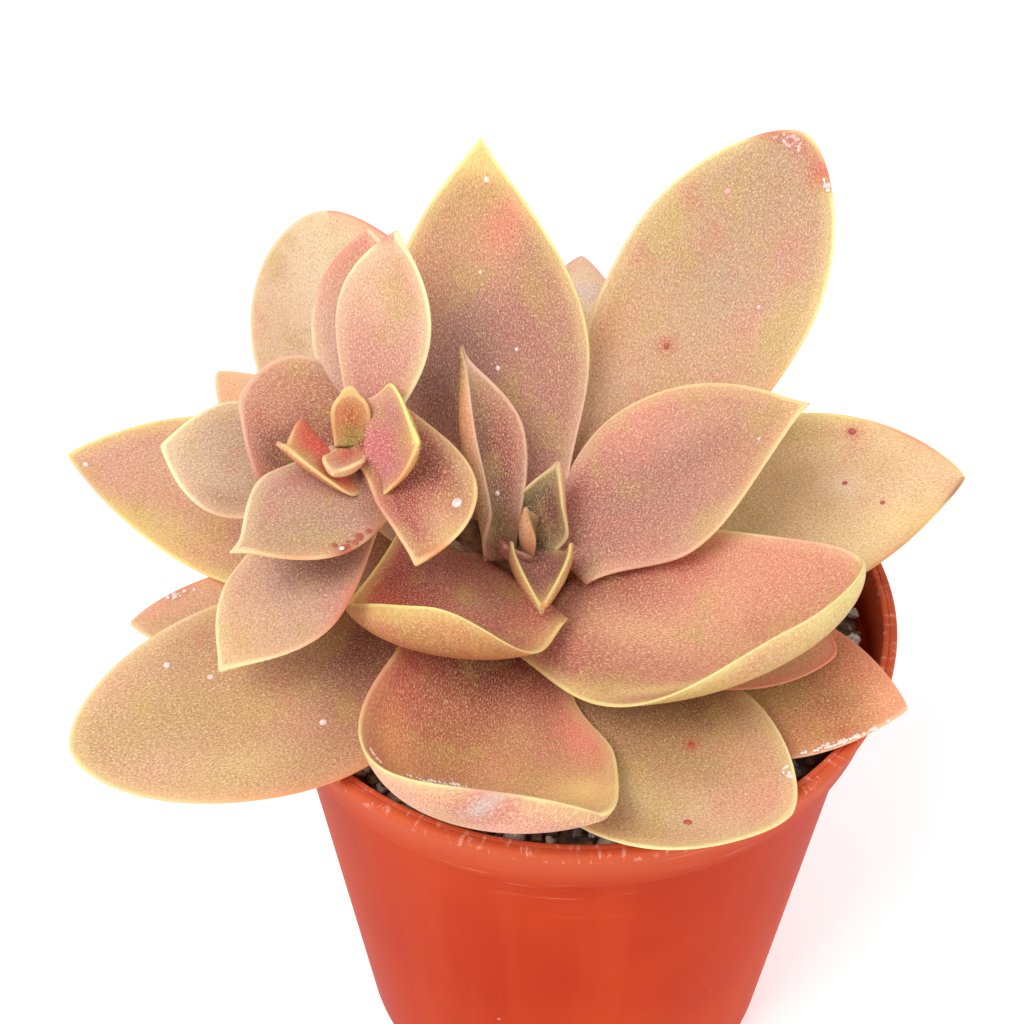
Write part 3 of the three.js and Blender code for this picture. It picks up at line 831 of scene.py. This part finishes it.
def grow(name, axis, leaves, finish, slot, node):
    """One object of one or more leaves, each given as its form and its paint."""
    all_points, all_faces, skins, lines, insides, flats = [], [], [], [], [], []
    count = 0
    for form, paint in leaves:
        leaf = Leaf(axis, **form)
        paint = {**PLAIN_PAINT, **paint}
        along, across, rise = blade_grid(leaf)
        rings, sides = along.shape
        points = leaf.skin(along, across, rise)[0]
        x, y = leaf.flat(along, across)
        poles = leaf.skin(np.array([0.0, 1.0]), np.zeros(2), np.zeros(2))[0]

        inside = from_margin(leaf, x, y) + np.maximum(0, -rise)
        skin = painted(leaf, paint, along, across, rise > 0, x, y)
        line = margin_painted(paint, along, across)
        all_points += [points.reshape(-1, 3), poles]
        all_faces += [tuple(corner + count for corner in face) for face in ring_faces(rings, sides)]
        count += rings * sides + 2
        skins += [skin.reshape(-1, 3), skin[0, :1], skin[-1, :1]]
        lines += [line.reshape(-1, 3), line[0, :1], line[-1, :1]]
        insides += [inside.ravel(), inside[0, :1], [0]]
        flats += [np.stack([x, y], -1).reshape(-1, 2), [[0, 0]], [[leaf.length, 0]]]
    made = plain_mesh(name, np.concatenate(all_points), all_faces, finish)
    mesh = made.data
    coloured(mesh, "skin", np.concatenate(skins))
    coloured(mesh, "line", np.concatenate(lines))
    layer = mesh.attributes.new("inside", "FLOAT", "POINT")
    layer.data.foreach_set("value", np.concatenate(insides).astype(np.float32))
    corner_points = np.zeros(len(mesh.loops), np.int32)
    mesh.loops.foreach_get("vertex_index", corner_points)
    flat = np.concatenate(flats)[corner_points] / FLAT_SPAN + 0.5
    mesh.uv_layers.new(name="blade").data.foreach_set("uv", flat.astype(np.float32).ravel())
    return belongs(made, slot, node)


# Main rosette
# Seventeen grown leaves round the stem's top, listed from the youngest down. The three in front are
# strongly cupped, with a pale margin that catches the light.

MAIN_AXIS = (-5, -4.5)
MAIN_LEAVES = {
    "upright": (
        dict(tip=(-15, 7.5, 120), root=95, start=184, width=11, left=140, right=20, roll=-10,
             bow=-0.04, point=1.15, fold=0.25, out=5.4, mucro=1.4),
        dict(root="8a5a48", middle="8e4c44", tip="b89468", side="a8604f", margin="e4b89c",
             under="b89a62", lip="c8a870",
             blots=[(0.2, 0.6, 6, 3, "9a7a50", 0.6), (0.6, -0.8, 8, 3, "b8685a", 0.7)],
             under_blots=[(0.9, 0.5, 6, 4, "d8c870", 0.7), (0.75, 0.9, 6, 3, "dc7860", 0.7),
                          (0.2, 0.7, 7, 4, "a87850", 0.6)]),
    ),
    "right_inner": (
        dict(tip=(29, 2, 116), root=95, width=24, roll=20, bow=0.1, neck=0.5, widest=0.42, point=0.85,
             out=2.5, mucro=1.2),
        dict(root="ac6c60", middle="c08274", tip="d8a274", side="c88872", margin="f2d294",
             blots=[(0.45, 0.75, 9, 4, "e0907c", 0.9), (0.24, 0.6, 5, 4, "b05c54", 0.6),
                    (0.5, 0.05, 12, 2.5, "a86c5e", 0.6), (0.62, 0.5, 8, 3, "d49280", 0.5),
                    (0.75, -0.05, 5, 3, "b87464", 0.5), (0.55, -0.85, 8, 2.5, "d8a884", 0.7),
                    (0.2, -0.8, 8, 3, "c88070", 0.6), (0.86, 0.1, 4, 3, "d09c7c", 0.6)],
             margin_blots=[(0.25, -1, 0.3, "e0a490", 0.8), (0.2, 1, 0.15, "e8b4a4", 0.8)]),
    ),
    "left_cupped": (
        dict(tip=(-30, -15, 96.5), root=93.5, start=235, width=36.5, even=0.5, left=110, right=30,
             hem=1.3, bow=0.12, neck=0.5, widest=0.5),
        dict(root="ca7664", middle="a8544a", tip="e46a56", side="da8862", margin="f8e888",
             under="d0805c", lip="d2925e",
             blots=[(0.22, 0.05, 5, 3.5, "b67c64", 0.8), (0.75, -0.35, 6, 5, "a63e38", 0.7),
                    (0.9, -0.1, 4, 5, "e66a54", 0.7), (0.3, -0.5, 7, 3, "9a4c48", 0.7),
                    (0.12, 0.5, 5, 4, "b66652", 0.6), (0.62, 0.8, 8, 3, "c67654", 0.6)],
             under_blots=[(0.9, 0.6, 5, 4, "d88064", 0.7), (0.68, 0.7, 5, 3, "c89a54", 0.7),
                          (0.45, 0.8, 7, 3, "e0a468", 0.7)],
             margin_blots=[(0.3, 1, 0.25, "e0b080", 0.6), (0.3, -1, 0.3, "b05c50", 0.8)]),
    ),
    "back": (
        dict(tip=(-13, 27, 140), root=92.5, width=28.5, bow=0.05, widest=0.5, point=0.85, curl=10,
             mucro=1),
        dict(root="ae7568", middle="b6776e", tip="eabd78", side="c69574", margin="f8e494",
             blots=[(0.82, -0.4, 4.5, 3.5, "ea7d70", 0.9), (0.88, 0.2, 5, 5, "c69568", 0.7),
                    (0.74, 0.4, 7, 5, "c28b68", 0.7), (0.5, 0.1, 8, 5, "a6776e", 0.7),
                    # The dark blot at 0.44 along, 0.5 across is painted shade.
                    (0.63, 0.7, 4, 3, "ca7d64", 0.7), (0.44, 0.5, 6, 4, "9a6962", 0.7),
                    (0.4, -0.4, 10, 5, "be816c", 0.7), (0.62, -0.5, 7, 4, "b46f66", 0.6),
                    (0.75, -0.75, 5, 3, "b68564", 0.6), (0.97, 0, 2.5, 4, "f2d180", 0.8)],
             margin_blots=[(0.25, -1, 0.2, "f0c4b4", 0.9)]),
    ),
    "right_cupped": (
        dict(tip=(36.5, -9, 99), root=91.5, start=-55, width=33, even=0.42, right=110,
             hem=1.3, roll=15, bow=-0.18, neck=0.55, widest=0.5, point=0.5),
        dict(root="b96a58", middle="dd9678", tip="dd9276", side="cd8a6a", margin="f4dc94",
             under="cda664", lip="e1ca7e",
             blots=[(0.15, 0.6, 6, 4, "933e36", 0.8), (0.38, 0.7, 8, 3.5, "c15e52", 0.8),
                    (0.3, -0.1, 10, 3.5, "dda27a", 0.8), (0.46, 0.25, 7, 3, "e79c7e", 0.6),
                    (0.7, -0.25, 5, 3, "cd9e64", 0.7), (0.85, 0.5, 6, 3.5, "dd8c72", 0.7),
                    (0.3, 0.35, 6, 2.5, "c1705e", 0.6), (0.4, -0.7, 9, 1.8, "f1d28a", 0.8)],
             under_blots=[(0.35, -0.7, 8, 3, "f1d276", 0.8), (0.65, -0.9, 8, 3, "cd9264", 0.7),
                          (0.5, -0.3, 12, 3, "c15e3e", 0.8)],
             margin_blots=[(0.9, 1, 0.15, "f0b49c", 0.8)]),
    ),
    "front_cupped": (
        dict(tip=(1.8, -47.5, 93.2), root=87, start=250, width=35.5, even=0.37, bow=-0.19, curl=62,
             late=1.1, left=14, right=66, fold=0.3, hem=1.6, neck=0.55, widest=0.62, point=0.5,
             thick=4.8),
        dict(root="9a453d", middle="c07f59", tip="e4b177", side="d88367", margin="f0dc94",
             under="dc987c", lip="e0a07e",
             # The dark red blot at 0.18 along, near the root, is painted shade deep in the cup.
             blots=[(0.18, -0.25, 5, 5, "7a2b23", 0.8), (0.26, 0.4, 6, 4, "b45f55", 0.8),
                    (0.5, 0.8, 10, 3, "e88773", 0.9), (0.48, 0.2, 6, 3, "cc8f65", 0.7),
                    (0.3, -0.8, 6, 3.5, "c04f4b", 0.8), (0.42, -0.35, 7, 4, "b46b47", 0.7),
                    (0.62, -0.1, 6, 3, "dc976f", 0.6), (0.85, 0.45, 4, 4, "f8cb7f", 0.8),
                    (0.5, -0.7, 6, 3, "eca367", 0.7)],
             under_blots=[(0.8, -0.5, 7, 4, "e4a890", 0.6), (0.95, 0, 4, 6, "bc6d53", 0.7),
                          (0.45, -0.8, 8, 5, "e8a474", 0.7), (0.89, -0.9, 4.6, 2.8, "bc4436", 1),
                          (0.89, -0.9, 2.6, 1.3, "ccbcb4", 1)],
             margin_blots=[(0.35, -1, 0.15, "e8907c", 0.7), (0.5, 1, 0.2, "e8b494", 0.7),
                           (0.89, -1, 0.05, "d8988a", 0.9)]),
    ),
    "back_right": (
        dict(tip=(31, 35.5, 136), root=90, width=28.5, roll=28, bow=0.03, widest=0.64, point=0.55),
        dict(root="d09c80", middle="cc9e7a", tip="c0987a", side="ccac7c", margin="f8e69c",
             blots=[(0.79, -0.45, 5, 4, "cc8478", 0.7), (0.69, 0.3, 4.5, 3, "c88a6a", 0.6),
                    (0.6, -0.5, 5, 3, "d4907c", 0.6), (0.77, 0.35, 4, 2, "c88a74", 0.5),
                    (0.72, 0.75, 7, 3.5, "c8aa68", 0.7), (0.47, 0.8, 6, 3, "d08c6c", 0.7),
                    (0.64, -0.75, 7, 3, "ccac6c", 0.7), (0.98, 0.2, 1.6, 4, "c06c5c", 0.9),
                    (0.95, -0.75, 2.2, 2, "cc5c4c", 0.9), (0.5, 0.15, 1.4, 1.4, "c4504a", 0.7),
                    (0.66, 0.0, 6, 4, "b89a84", 0.5), (0.86, 0.1, 6, 5, "b8966c", 0.5)],
             margin_blots=[(0.45, -1, 0.16, "dc8c6c", 0.9), (0.97, 1, 0.03, "cc6c5c", 0.9),
                           (0.96, -1, 0.03, "cc6450", 0.9), (0.6, 1, 0.2, "ecc4a0", 0.6)]),
    ),
    "right_outer": (
        dict(tip=(53.5, 8.5, 98), root=88.5, width=28, roll=22, bow=0.1),
        dict(root="b8a86e", middle="d6b482", tip="e8c094", side="e0c88a", margin="f0dc90",
             under="ba9258", lip="c27248",
             # The dull blot at 0.66 along, 0.8 across is a painted shadow cast by the right_inner leaf
             # above it.
             blots=[(0.66, 0.8, 7, 2.5, "ba9a5a", 0.7), (0.72, -0.05, 7, 4, "deb486", 0.6),
                    (0.87, -0.6, 5, 3, "f2d294", 0.7), (0.82, 0.3, 5, 3, "dab078", 0.5),
                    (0.73, 0.1, 2.5, 2, "eaceb0", 0.6), (0.77, 0.79, 1, 1, "ca604c", 0.7)],
             margin_blots=[(0.9, 1, 0.1, "d88468", 0.9), (0.8, -1, 0.16, "b8603c", 0.8),
                           (0.98, -1, 0.03, "8c4030", 0.8)]),
    ),
    "left": (
        dict(tip=(-70, 13, 98), root=88, width=25, roll=-28, bow=-0.06, mucro=1),
        dict(root="b77568", middle="c78d70", tip="e3a790", side="dbb57c", margin="f6e08c",
             blots=[(0.8, 0.75, 9, 3, "dfc578", 0.8), (0.62, 0.3, 6, 4, "bb7d68", 0.6),
                    (0.85, -0.3, 6, 4, "d7a588", 0.7), (0.72, 0.1, 7, 3, "d3a57a", 0.5)],
             margin_blots=[(0.95, 1, 0.05, "e8a890", 0.7)]),
    ),
    "back_left": (
        dict(tip=(-36, 48, 115), root=87, width=33, bow=0.08, widest=0.62, point=0.5),
        dict(root="dbb296", middle="ebcaaa", tip="ebd2aa", side="efc6a2", margin="f8dcac",
             blots=[(0.9, -0.4, 6, 5, "e3be92", 0.6), (0.85, 0.3, 6, 5, "efd6b4", 0.6)],
             margin_blots=[(0.93, -1, 0.12, "dc7868", 0.9), (0.75, 1, 0.2, "f4cca4", 0.7)]),
    ),
    "front_left": (
        dict(tip=(-63.8, -35.2, 91), root=87, width=28, roll=-25, bow=0.03, curl=0, point=0.5),
        dict(root="985a4c", middle="c29068", tip="c8a070", side="dcb088", margin="f2dc9c",
             # The dark blot at 0.38 along is painted shade, where the leaves above shade this one.
             blots=[(0.38, -0.1, 6, 5, "8a4c40", 0.7), (0.45, 0.35, 7, 4, "b87c64", 0.7),
                    (0.6, 0.05, 7, 3, "cca468", 0.6), (0.68, 0.6, 8, 3, "dcb87e", 0.7),
                    (0.55, 0.4, 5, 3, "d09c7c", 0.6), (0.88, -0.55, 5, 4, "d4a080", 0.6),
                    (0.8, -0.1, 8, 3, "c09a64", 0.6), (0.85, 0.5, 6, 3, "d8a482", 0.6)],
             margin_blots=[(0.55, 1, 0.3, "dc7c58", 0.8), (0.8, -1, 0.2, "d8b48c", 0.6)]),
    ),
    "right_low_inner": (
        dict(tip=(34, -15.5, 88), root=86, width=20, point=0.5),
        dict(root="d09c78", middle="e8b490", tip="f2aa86", margin="e08a6a"),
    ),
    "front_right": (
        dict(tip=(26, -40, 85), root=85, width=33, even=0.42, bow=-0.08, point=0.5),
        dict(root="956548", middle="b1835a", tip="dda588", side="c59f6c", margin="ecdc9c",
             blots=[(0.62, -0.5, 8, 3.5, "d5b982", 0.8), (0.85, -0.45, 6, 4, "e5bd94", 0.7),
                    (0.92, 0.05, 4, 5, "e19b80", 0.7), (0.52, 0.6, 6, 4, "855938", 0.7),
                    (0.66, 0.1, 6, 4, "b18f5a", 0.6), (0.62, 0.17, 1.2, 1.2, "c15140", 0.7),
                    (0.8, 0.4, 6, 3, "d19d74", 0.5)],
             margin_blots=[(0.6, 1, 0.15, "d8b078", 0.6)]),
    ),
    "back_left_low": (
        dict(tip=(-52, 33, 97), root=84, width=22),
        dict(root="ca987c", middle="eeb894", tip="f6c49a", side="f2bc9a", margin="f8d6ac"),
    ),
    "left_low": (
        dict(tip=(-60.5, -8, 86), root=82.5, width=22, curl=0),
        dict(root="a2745a", middle="caa07e", tip="e2ac8a", side="e2b89a", margin="f4d0a4",
             margin_blots=[(0.88, -1, 0.1, "dc6c5c", 0.8)]),
    ),
    "back_low": (
        dict(tip=(2, 58, 100), root=82, width=24),
        dict(root="a88c78", middle="d0ae94", tip="e0c09c", side="c89f88", margin="d8ac94",
             blots=[(0.9, 0.1, 3, 4, "e0c8bc", 0.7)]),
    ),
    "right_low": (
        dict(tip=(42.5, -23.5, 86), root=80, width=24, roll=15, curl=15),
        dict(root="ae8258", middle="be8c5c", tip="e2966a", side="d2825c", margin="f0b48c",
             blots=[(0.79, 0, 6, 4, "ae6644", 0.8), (0.88, -0.8, 5, 2, "be563c", 0.8),
                    (0.6, 0, 5, 6, "c69a60", 0.6), (0.85, 0.5, 5, 3, "da825c", 0.6),
                    (0.95, 0.2, 3, 3, "f2aa80", 0.6)],
             margin_blots=[(0.8, 1, 0.2, "c8584c", 0.6)]),
    ),
}
for leaf_name, leaf in MAIN_LEAVES.items():
    grow("main_blade_" + leaf_name, MAIN_AXIS, [leaf], LEAF_SKIN, "leaf_skin", "main_leaf_" + leaf_name)


# Offset rosette
# A young plant on its own stalk, with smaller, pinker leaves that are broad for their length.

OFFSET_AXIS = (-29.5, -3)
OFFSET_LEAVES = {
    "right_young": (
        dict(tip=(-21, -8.6, 118.6), root=113.5, width=15, even=0.58, left=20, right=40, roll=48,
             bow=0.08, curl=40, neck=0.8, widest=0.42, point=0.5, out=2, thick=2, mucro=0.9),
        dict(root="c67074", middle="c67c7a", tip="ce8c74", side="ce8c84", margin="f8e48c",
             under="ca9054", lip="d6985c",
             blots=[(0.3, 0.1, 4, 3, "ce686c", 0.7), (0.55, 0.8, 4, 2, "d29888", 0.6),
                    (0.9, 0, 2, 3, "d69464", 0.8)],
             margin_blots=[(0.8, -1, 0.25, "e07860", 0.7), (0.1, 1, 0.2, "f0b4a4", 0.7)]),
    ),
    "back": (
        dict(tip=(-23.5, 9, 138), root=112, width=14, out=3, mucro=0.6),
        dict(root="cc8c80", middle="d89c88", tip="e4b494", side="dcaa8c", margin="fae8b0",
             blots=[(0.85, -0.5, 3.5, 2.5, "d8907c", 0.7), (0.7, 0.2, 5, 3, "e0b490", 0.6),
                    (0.45, 0.2, 4, 3, "d0887c", 0.6)],
             margin_blots=[(0.97, 1, 0.04, "cc6c6c", 0.8), (0.5, 1, 0.3, "f4c4ac", 0.7)]),
    ),
    "left_inner": (
        dict(tip=(-43.5, 0, 119), root=112, width=19, roll=-25, bow=-0.1, neck=0.75,
             widest=0.45, point=0.5, out=3),
        dict(root="a05c50", middle="b4745e", tip="c08468", side="b87868", margin="e8b498",
             blots=[(0.45, 0.4, 5, 3, "925046", 0.8), (0.85, 0.5, 4, 3, "b06858", 0.7),
                    (0.6, -0.6, 5, 3, "c88c6c", 0.7), (0.8, -0.2, 4, 3, "d08c74", 0.6),
                    (0.25, 0.6, 3, 2, "80403c", 0.7)],
             margin_blots=[(0.5, 1, 0.3, "cc7468", 0.8), (0.3, -1, 0.3, "f4e0b0", 0.7)]),
    ),
    "front_inner": (
        dict(tip=(-42.2, -21.8, 113), root=111, start=320, width=16, roll=-15, bow=0.02,
             point=0.9, neck=0.8, widest=0.5, out=3, mucro=1.6),
        dict(root="b68076", middle="be9076", tip="ca987a", side="c69882", margin="f6dcac",
             under="c2704e", lip="ca8052",
             blots=[(0.38, 0.1, 5, 3, "b68482", 0.6), (0.6, -0.3, 5, 3, "c69680", 0.6),
                    (0.65, 0.3, 5, 2.5, "b69470", 0.7), (0.4, -0.7, 5, 2, "c2847e", 0.6)],
             under_blots=[(0.5, 0.8, 3, 3, "aa342e", 0.8)],
             margin_blots=[(0.55, 1, 0.12, "b8402f", 0.9), (0.3, 1, 0.15, "c87050", 0.8),
                           (0.8, 1, 0.15, "e0a068", 0.8)]),
    ),
    "right_front": (
        dict(tip=(-20.5, -22, 111), root=114, start=45, width=13.5, left=30, bow=0.17, neck=0.8,
             widest=0.5, out=4, mucro=0.7),
        dict(root="a0443a", middle="b45248", tip="c05a4c", side="b8624e", margin="f2d090",
             blots=[(0.4, 0.2, 3, 4, "843026", 0.7), (0.45, 0.8, 5, 2, "c0906e", 0.7),
                    (0.7, 0.1, 4, 2.5, "d08c76", 0.8), (0.82, 0.6, 4, 2.5, "e4b482", 0.8),
                    (0.5, -0.5, 4, 2, "98403e", 0.7), (0.85, -0.7, 4, 2.5, "a8544e", 0.7)],
             margin_blots=[(0.6, -1, 0.3, "d89484", 0.9), (0.93, 0.5, 0.06, "e08c58", 0.8)]),
    ),
    "back_outer": (
        dict(tip=(-27.5, 16, 134), root=110, width=14, out=3),
        dict(root="cc9c8e", middle="d8ac96", tip="dc9482", side="dcb09a", margin="f4d0ac",
             margin_blots=[(0.85, 1, 0.2, "d87868", 0.8)]),
    ),
    "left": (
        dict(tip=(-54, -2.5, 113), root=109, width=17, roll=-25, out=3),
        dict(root="a08278", middle="c8a890", tip="d8b090", side="d4ac90", margin="f8e4b4",
             blots=[(0.65, 0.1, 6, 3, "ccac8c", 0.7), (0.58, 0.75, 5, 2, "b88c70", 0.7),
                    (0.5, -0.3, 4, 3, "b89c88", 0.6)],
             margin_blots=[(0.6, 1, 0.2, "e0a484", 0.6)]),
    ),
    "front_outer": (
        dict(tip=(-45, -28.5, 99), root=108, width=17, even=0.6, neck=0.7, point=0.8, out=3,
             mucro=0.8),
        dict(root="985c54", middle="c09484", tip="e0b080", side="d09c84", margin="f6dca4",
             under="c87050", lip="cc7450",
             blots=[(0.46, 0.05, 4, 4, "a8766a", 0.7), (0.4, 0.5, 3, 3, "8a503c", 0.7),
                    (0.65, 0.5, 6, 3, "cc9c86", 0.7), (0.6, -0.6, 6, 3, "d0a484", 0.7),
                    (0.85, -0.2, 5, 4, "dcac80", 0.6)],
             margin_blots=[(0.5, 1, 0.3, "cc5c48", 0.9)]),
    ),
}
for leaf_name, leaf in OFFSET_LEAVES.items():
    grow("offset_blade_" + leaf_name, OFFSET_AXIS, [leaf], LEAF_SKIN, "leaf_skin",
         "offset_leaf_" + leaf_name)


# Blemishes
# Drops of wax, corky blisters and crusts of dried scale on the leaves, as a plant grown outdoors has.
# Each stands a fraction of a millimetre off the skin.

WAX = "fbe4dc"
CORK = "b8564a"
SCALE = "f2e6dc"
# Each drop has its leaf, its place along and across, its radius and its colour. Each crust has its
# leaf, its place, its length and width, its number of flakes, its colour and a seed.
SINGLES = [
    ("back", 0.46, -0.1, 0.35, WAX), ("back", 0.92, -0.25, 0.4, WAX), ("back", 0.5, -0.3, 0.25, WAX),
    ("back", 0.7, -0.02, 0.22, WAX), ("back_right", 0.83, 0.47, 0.5, "eab4ac"),
    ("back_right", 0.5, 0.15, 0.4, CORK), ("back_right", 0.66, -0.45, 0.28, WAX),
    ("right_outer", 0.77, 0.79, 0.5, CORK), ("right_outer", 0.81, -0.2, 0.35, CORK),
    ("right_outer", 0.73, 0.15, 0.35, CORK), ("front_left", 0.77, -0.64, 0.45, WAX),
    ("front_left", 0.69, -0.36, 0.4, WAX), ("front_left", 0.5, 0.41, 0.5, WAX),
    ("front_right", 0.62, 0.17, 0.5, CORK), ("front_right", 0.8, -0.58, 0.5, CORK),
    ("left", 0.97, 0.3, 0.4, WAX), ("offset right_front", 0.63, 0.59, 0.75, WAX),
    ("offset front_inner", 0.56, 0.93, 0.35, WAX), ("offset right_front", 0.42, 0.5, 0.4, "d88478"),
    ("upright", 0.32, -0.1, 0.35, SCALE), ("right_inner", 0.83, -0.35, 0.25, SCALE),
]
CRUSTS = [
    ("back_right", 0.975, 0.3, 1, 2.2, 18, "e8bcb0", 5),
    ("back_right", 0.94, -0.9, 0.8, 0.5, 7, SCALE, 6),
    ("right_low", 0.86, -0.95, 4.5, 0.7, 44, SCALE, 7),
    ("front_right", 0.94, 0.75, 0.9, 0.6, 8, SCALE, 8),
    ("front_cupped", 0.8, -0.97, 2.8, 0.9, 30, "d8c4bc", 9),
    ("front_cupped", 0.62, -0.97, 1.6, 0.6, 12, "e8c0ae", 4),
    ("back_low", 0.9, -0.1, 2.0, 3.0, 24, "e0c4bc", 10),
    ("left_low", 0.88, -0.8, 2.0, 0.6, 12, SCALE, 12),
    ("offset front_inner", 0.45, 0.9, 3, 0.5, 12, CORK, 13),
]
CRUST_SIZES = (0.15, 0.38)
CRUST_LEANS = (0.8, 1.3)
SINGLE_LEAN = 1.1
BUMP_FLATNESS = 0.45
BUMP_RINGS = 7
BUMP_SIDES = 12


def named_leaf(name):
    """A leaf's form by its name in the lists. Those of the offset have offset before it."""
    if name.startswith("offset "):
        return Leaf(OFFSET_AXIS, **OFFSET_LEAVES[name.split()[1]][0])
    return Leaf(MAIN_AXIS, **MAIN_LEAVES[name][0])


def bump_points(leaf, along, across, size, lean):
    """A small flattened dome on the leaf's upper skin."""
    spots, normals = leaf.skin(np.array([along, along + 0.004]), np.array([across] * 2), np.ones(2))
    out = normals[0]
    ahead = spots[1] - spots[0]
    ahead = ahead - out * (ahead @ out)
    ahead /= np.linalg.norm(ahead)
    aside = np.cross(out, ahead)
    polar = np.linspace(0, math.pi, BUMP_RINGS + 2)[1:-1, None, None]
    round_it = (np.arange(BUMP_SIDES) * 2 * math.pi / BUMP_SIDES)[None, :, None]
    ring = np.sin(polar) * (np.cos(round_it) * ahead * lean + np.sin(round_it) * aside / lean)
    dome = spots[0] + size * (ring + BUMP_FLATNESS * np.cos(polar) * out)
    poles = [spots[0] + BUMP_FLATNESS * size * out, spots[0] - BUMP_FLATNESS * size * out]
    return np.concatenate([dome.reshape(-1, 3), poles])


def crust_bumps(name, middle_along, middle_across, long, wide, count, shade, seed):
    """Many small domes strewn over a patch of a leaf, near its middle the thickest."""
    leaf = named_leaf(name)
    random = np.random.default_rng(seed)
    half = float(leaf.half_width(np.array(middle_along), np.array(middle_across > 0)))
    for _ in range(count):
        along = middle_along + random.normal(0, 0.5) * long / leaf.length
        across = middle_across + random.normal(0, 0.5) * wide / half
        along, across = np.clip([along, across], [0, -0.98], [0.99, 0.98])
        size = random.uniform(*CRUST_SIZES)
        lean = random.uniform(*CRUST_LEANS)
        yield bump_points(leaf, along, across, size, lean), shade


def wax_finish():
    """Dry wax and cork, painted by the mesh's own colours."""
    f = Finish("wax and cork")
    shade = f.attribute("skin", "Color")
    mottle = f.noise(f.object_place(), 900, 2)
    shade = f.blend(mottle.rise(0.45, 0.7) * 0.35, shade, colour(CORK))
    return f.close(Base_Color=shade, Roughness=0.45)


bumps = [(bump_points(named_leaf(name), along, across, size, SINGLE_LEAN), shade)
         for name, along, across, size, shade in SINGLES]
for crust in CRUSTS:
    bumps += list(crust_bumps(*crust))
bump_faces = [tuple(corner + i * len(points) for corner in face[::-1])
              for i, (points, shade) in enumerate(bumps) for face in ring_faces(BUMP_RINGS, BUMP_SIDES)]
blemishes = plain_mesh("blemishes", np.concatenate([points for points, shade in bumps]), bump_faces,
                       wax_finish())
shades = np.concatenate([np.tile(tone(shade), (len(points), 1)) for points, shade in bumps])
coloured(blemishes.data, "skin", shades)
belongs(blemishes, "leaf_skin")


# Hearts
# The youngest leaves, folded together at the middle of each rosette: maroon and olive in the main
# one, and bright coral in the offset.

HEART_LEAF = dict(out=0.6, thick=1.6, neck=0.7, widest=0.45, left=30, right=30)
MAIN_HEART = [
    (dict(tip=(-2.8, 2, 106), root=96, start=150, width=10.5, left=95, right=60, roll=-8,
          neck=0.6, widest=0.35, point=1, out=1.2),
     dict(root="6e4a40", middle="845040", tip="8c7048", side="94804c", margin="d8c08c",
          blots=[(0.5, 0.6, 5, 2.5, "6e6440", 0.8), (0.5, -0.4, 5, 2, "84443e", 0.7)])),
    (dict(tip=(-5, -18.5, 99), root=97, width=13, left=90, right=100, fold=0.25,
          neck=0.35, widest=0.25, point=1.3),
     dict(root="7c4440", middle="985450", tip="b8784c", side="a89454", margin="e4cc84",
          under="b86c48", lip="c88854", margin_blots=[(0.97, 1, 0.06, "dc6c4c", 0.8)])),
    (dict(tip=(-6.7, -4.3, 103), root=96, width=5.5, left=60, right=60, neck=0.9, point=0.8, mucro=0.8),
     dict(root="6c4038", middle="8c5c48", tip="8c7c58", side="a08460", margin="c8a070")),
    (dict(tip=(-9.7, -8.5, 101), root=96, start=200, width=5.5, out=2, mucro=0.4),
     dict(root="84504c", middle="9c6060", tip="9c6460", side="a46a60", margin="b07868",
          under="9c6058", lip="9c6058")),
]
OFFSET_HEART = [
    (dict(tip=(-37.5, -8, 117.5), root=111, width=14, roll=-10, left=20, right=20, neck=0.8,
          widest=0.35, point=1.1, mucro=1.6),
     dict(root="dc5048", middle="dc6458", tip="cc9460", side="d87660", margin="ecc888",
          under="d87058", lip="dc8060",
          blots=[(0.7, 0.3, 3, 2, "c89c68", 0.7), (0.5, -0.5, 4, 2.5, "e05850", 0.8)],
          margin_blots=[(0.4, -1, 0.3, "ec7868", 0.9)])),
    (dict(tip=(-29.6, -1, 120.5), root=113, width=5.2, neck=0.9, widest=0.6, point=0.4, mucro=1),
     dict(root="a07840", middle="c84838", tip="cc8458", side="d06c50", margin="ecc888",
          blots=[(0.15, 0, 1.6, 2, "a4983c", 0.7)])),
    (dict(tip=(-31.2, -10.9, 116), root=113, width=5.5, neck=0.8, left=40, right=40, mucro=0.8),
     dict(root="cc5450", middle="cc7870", tip="d89c80", side="d87468", margin="f0d8a0")),
]
for heart_name, axis, leaves in [("main", MAIN_AXIS, MAIN_HEART), ("offset", OFFSET_AXIS, OFFSET_HEART)]:
    leaves = [({**HEART_LEAF, **form}, paint) for form, paint in leaves]
    grow(heart_name + "_young_blades", axis, leaves, YOUNG_SKIN, "young_leaf_skin", heart_name + "_heart")
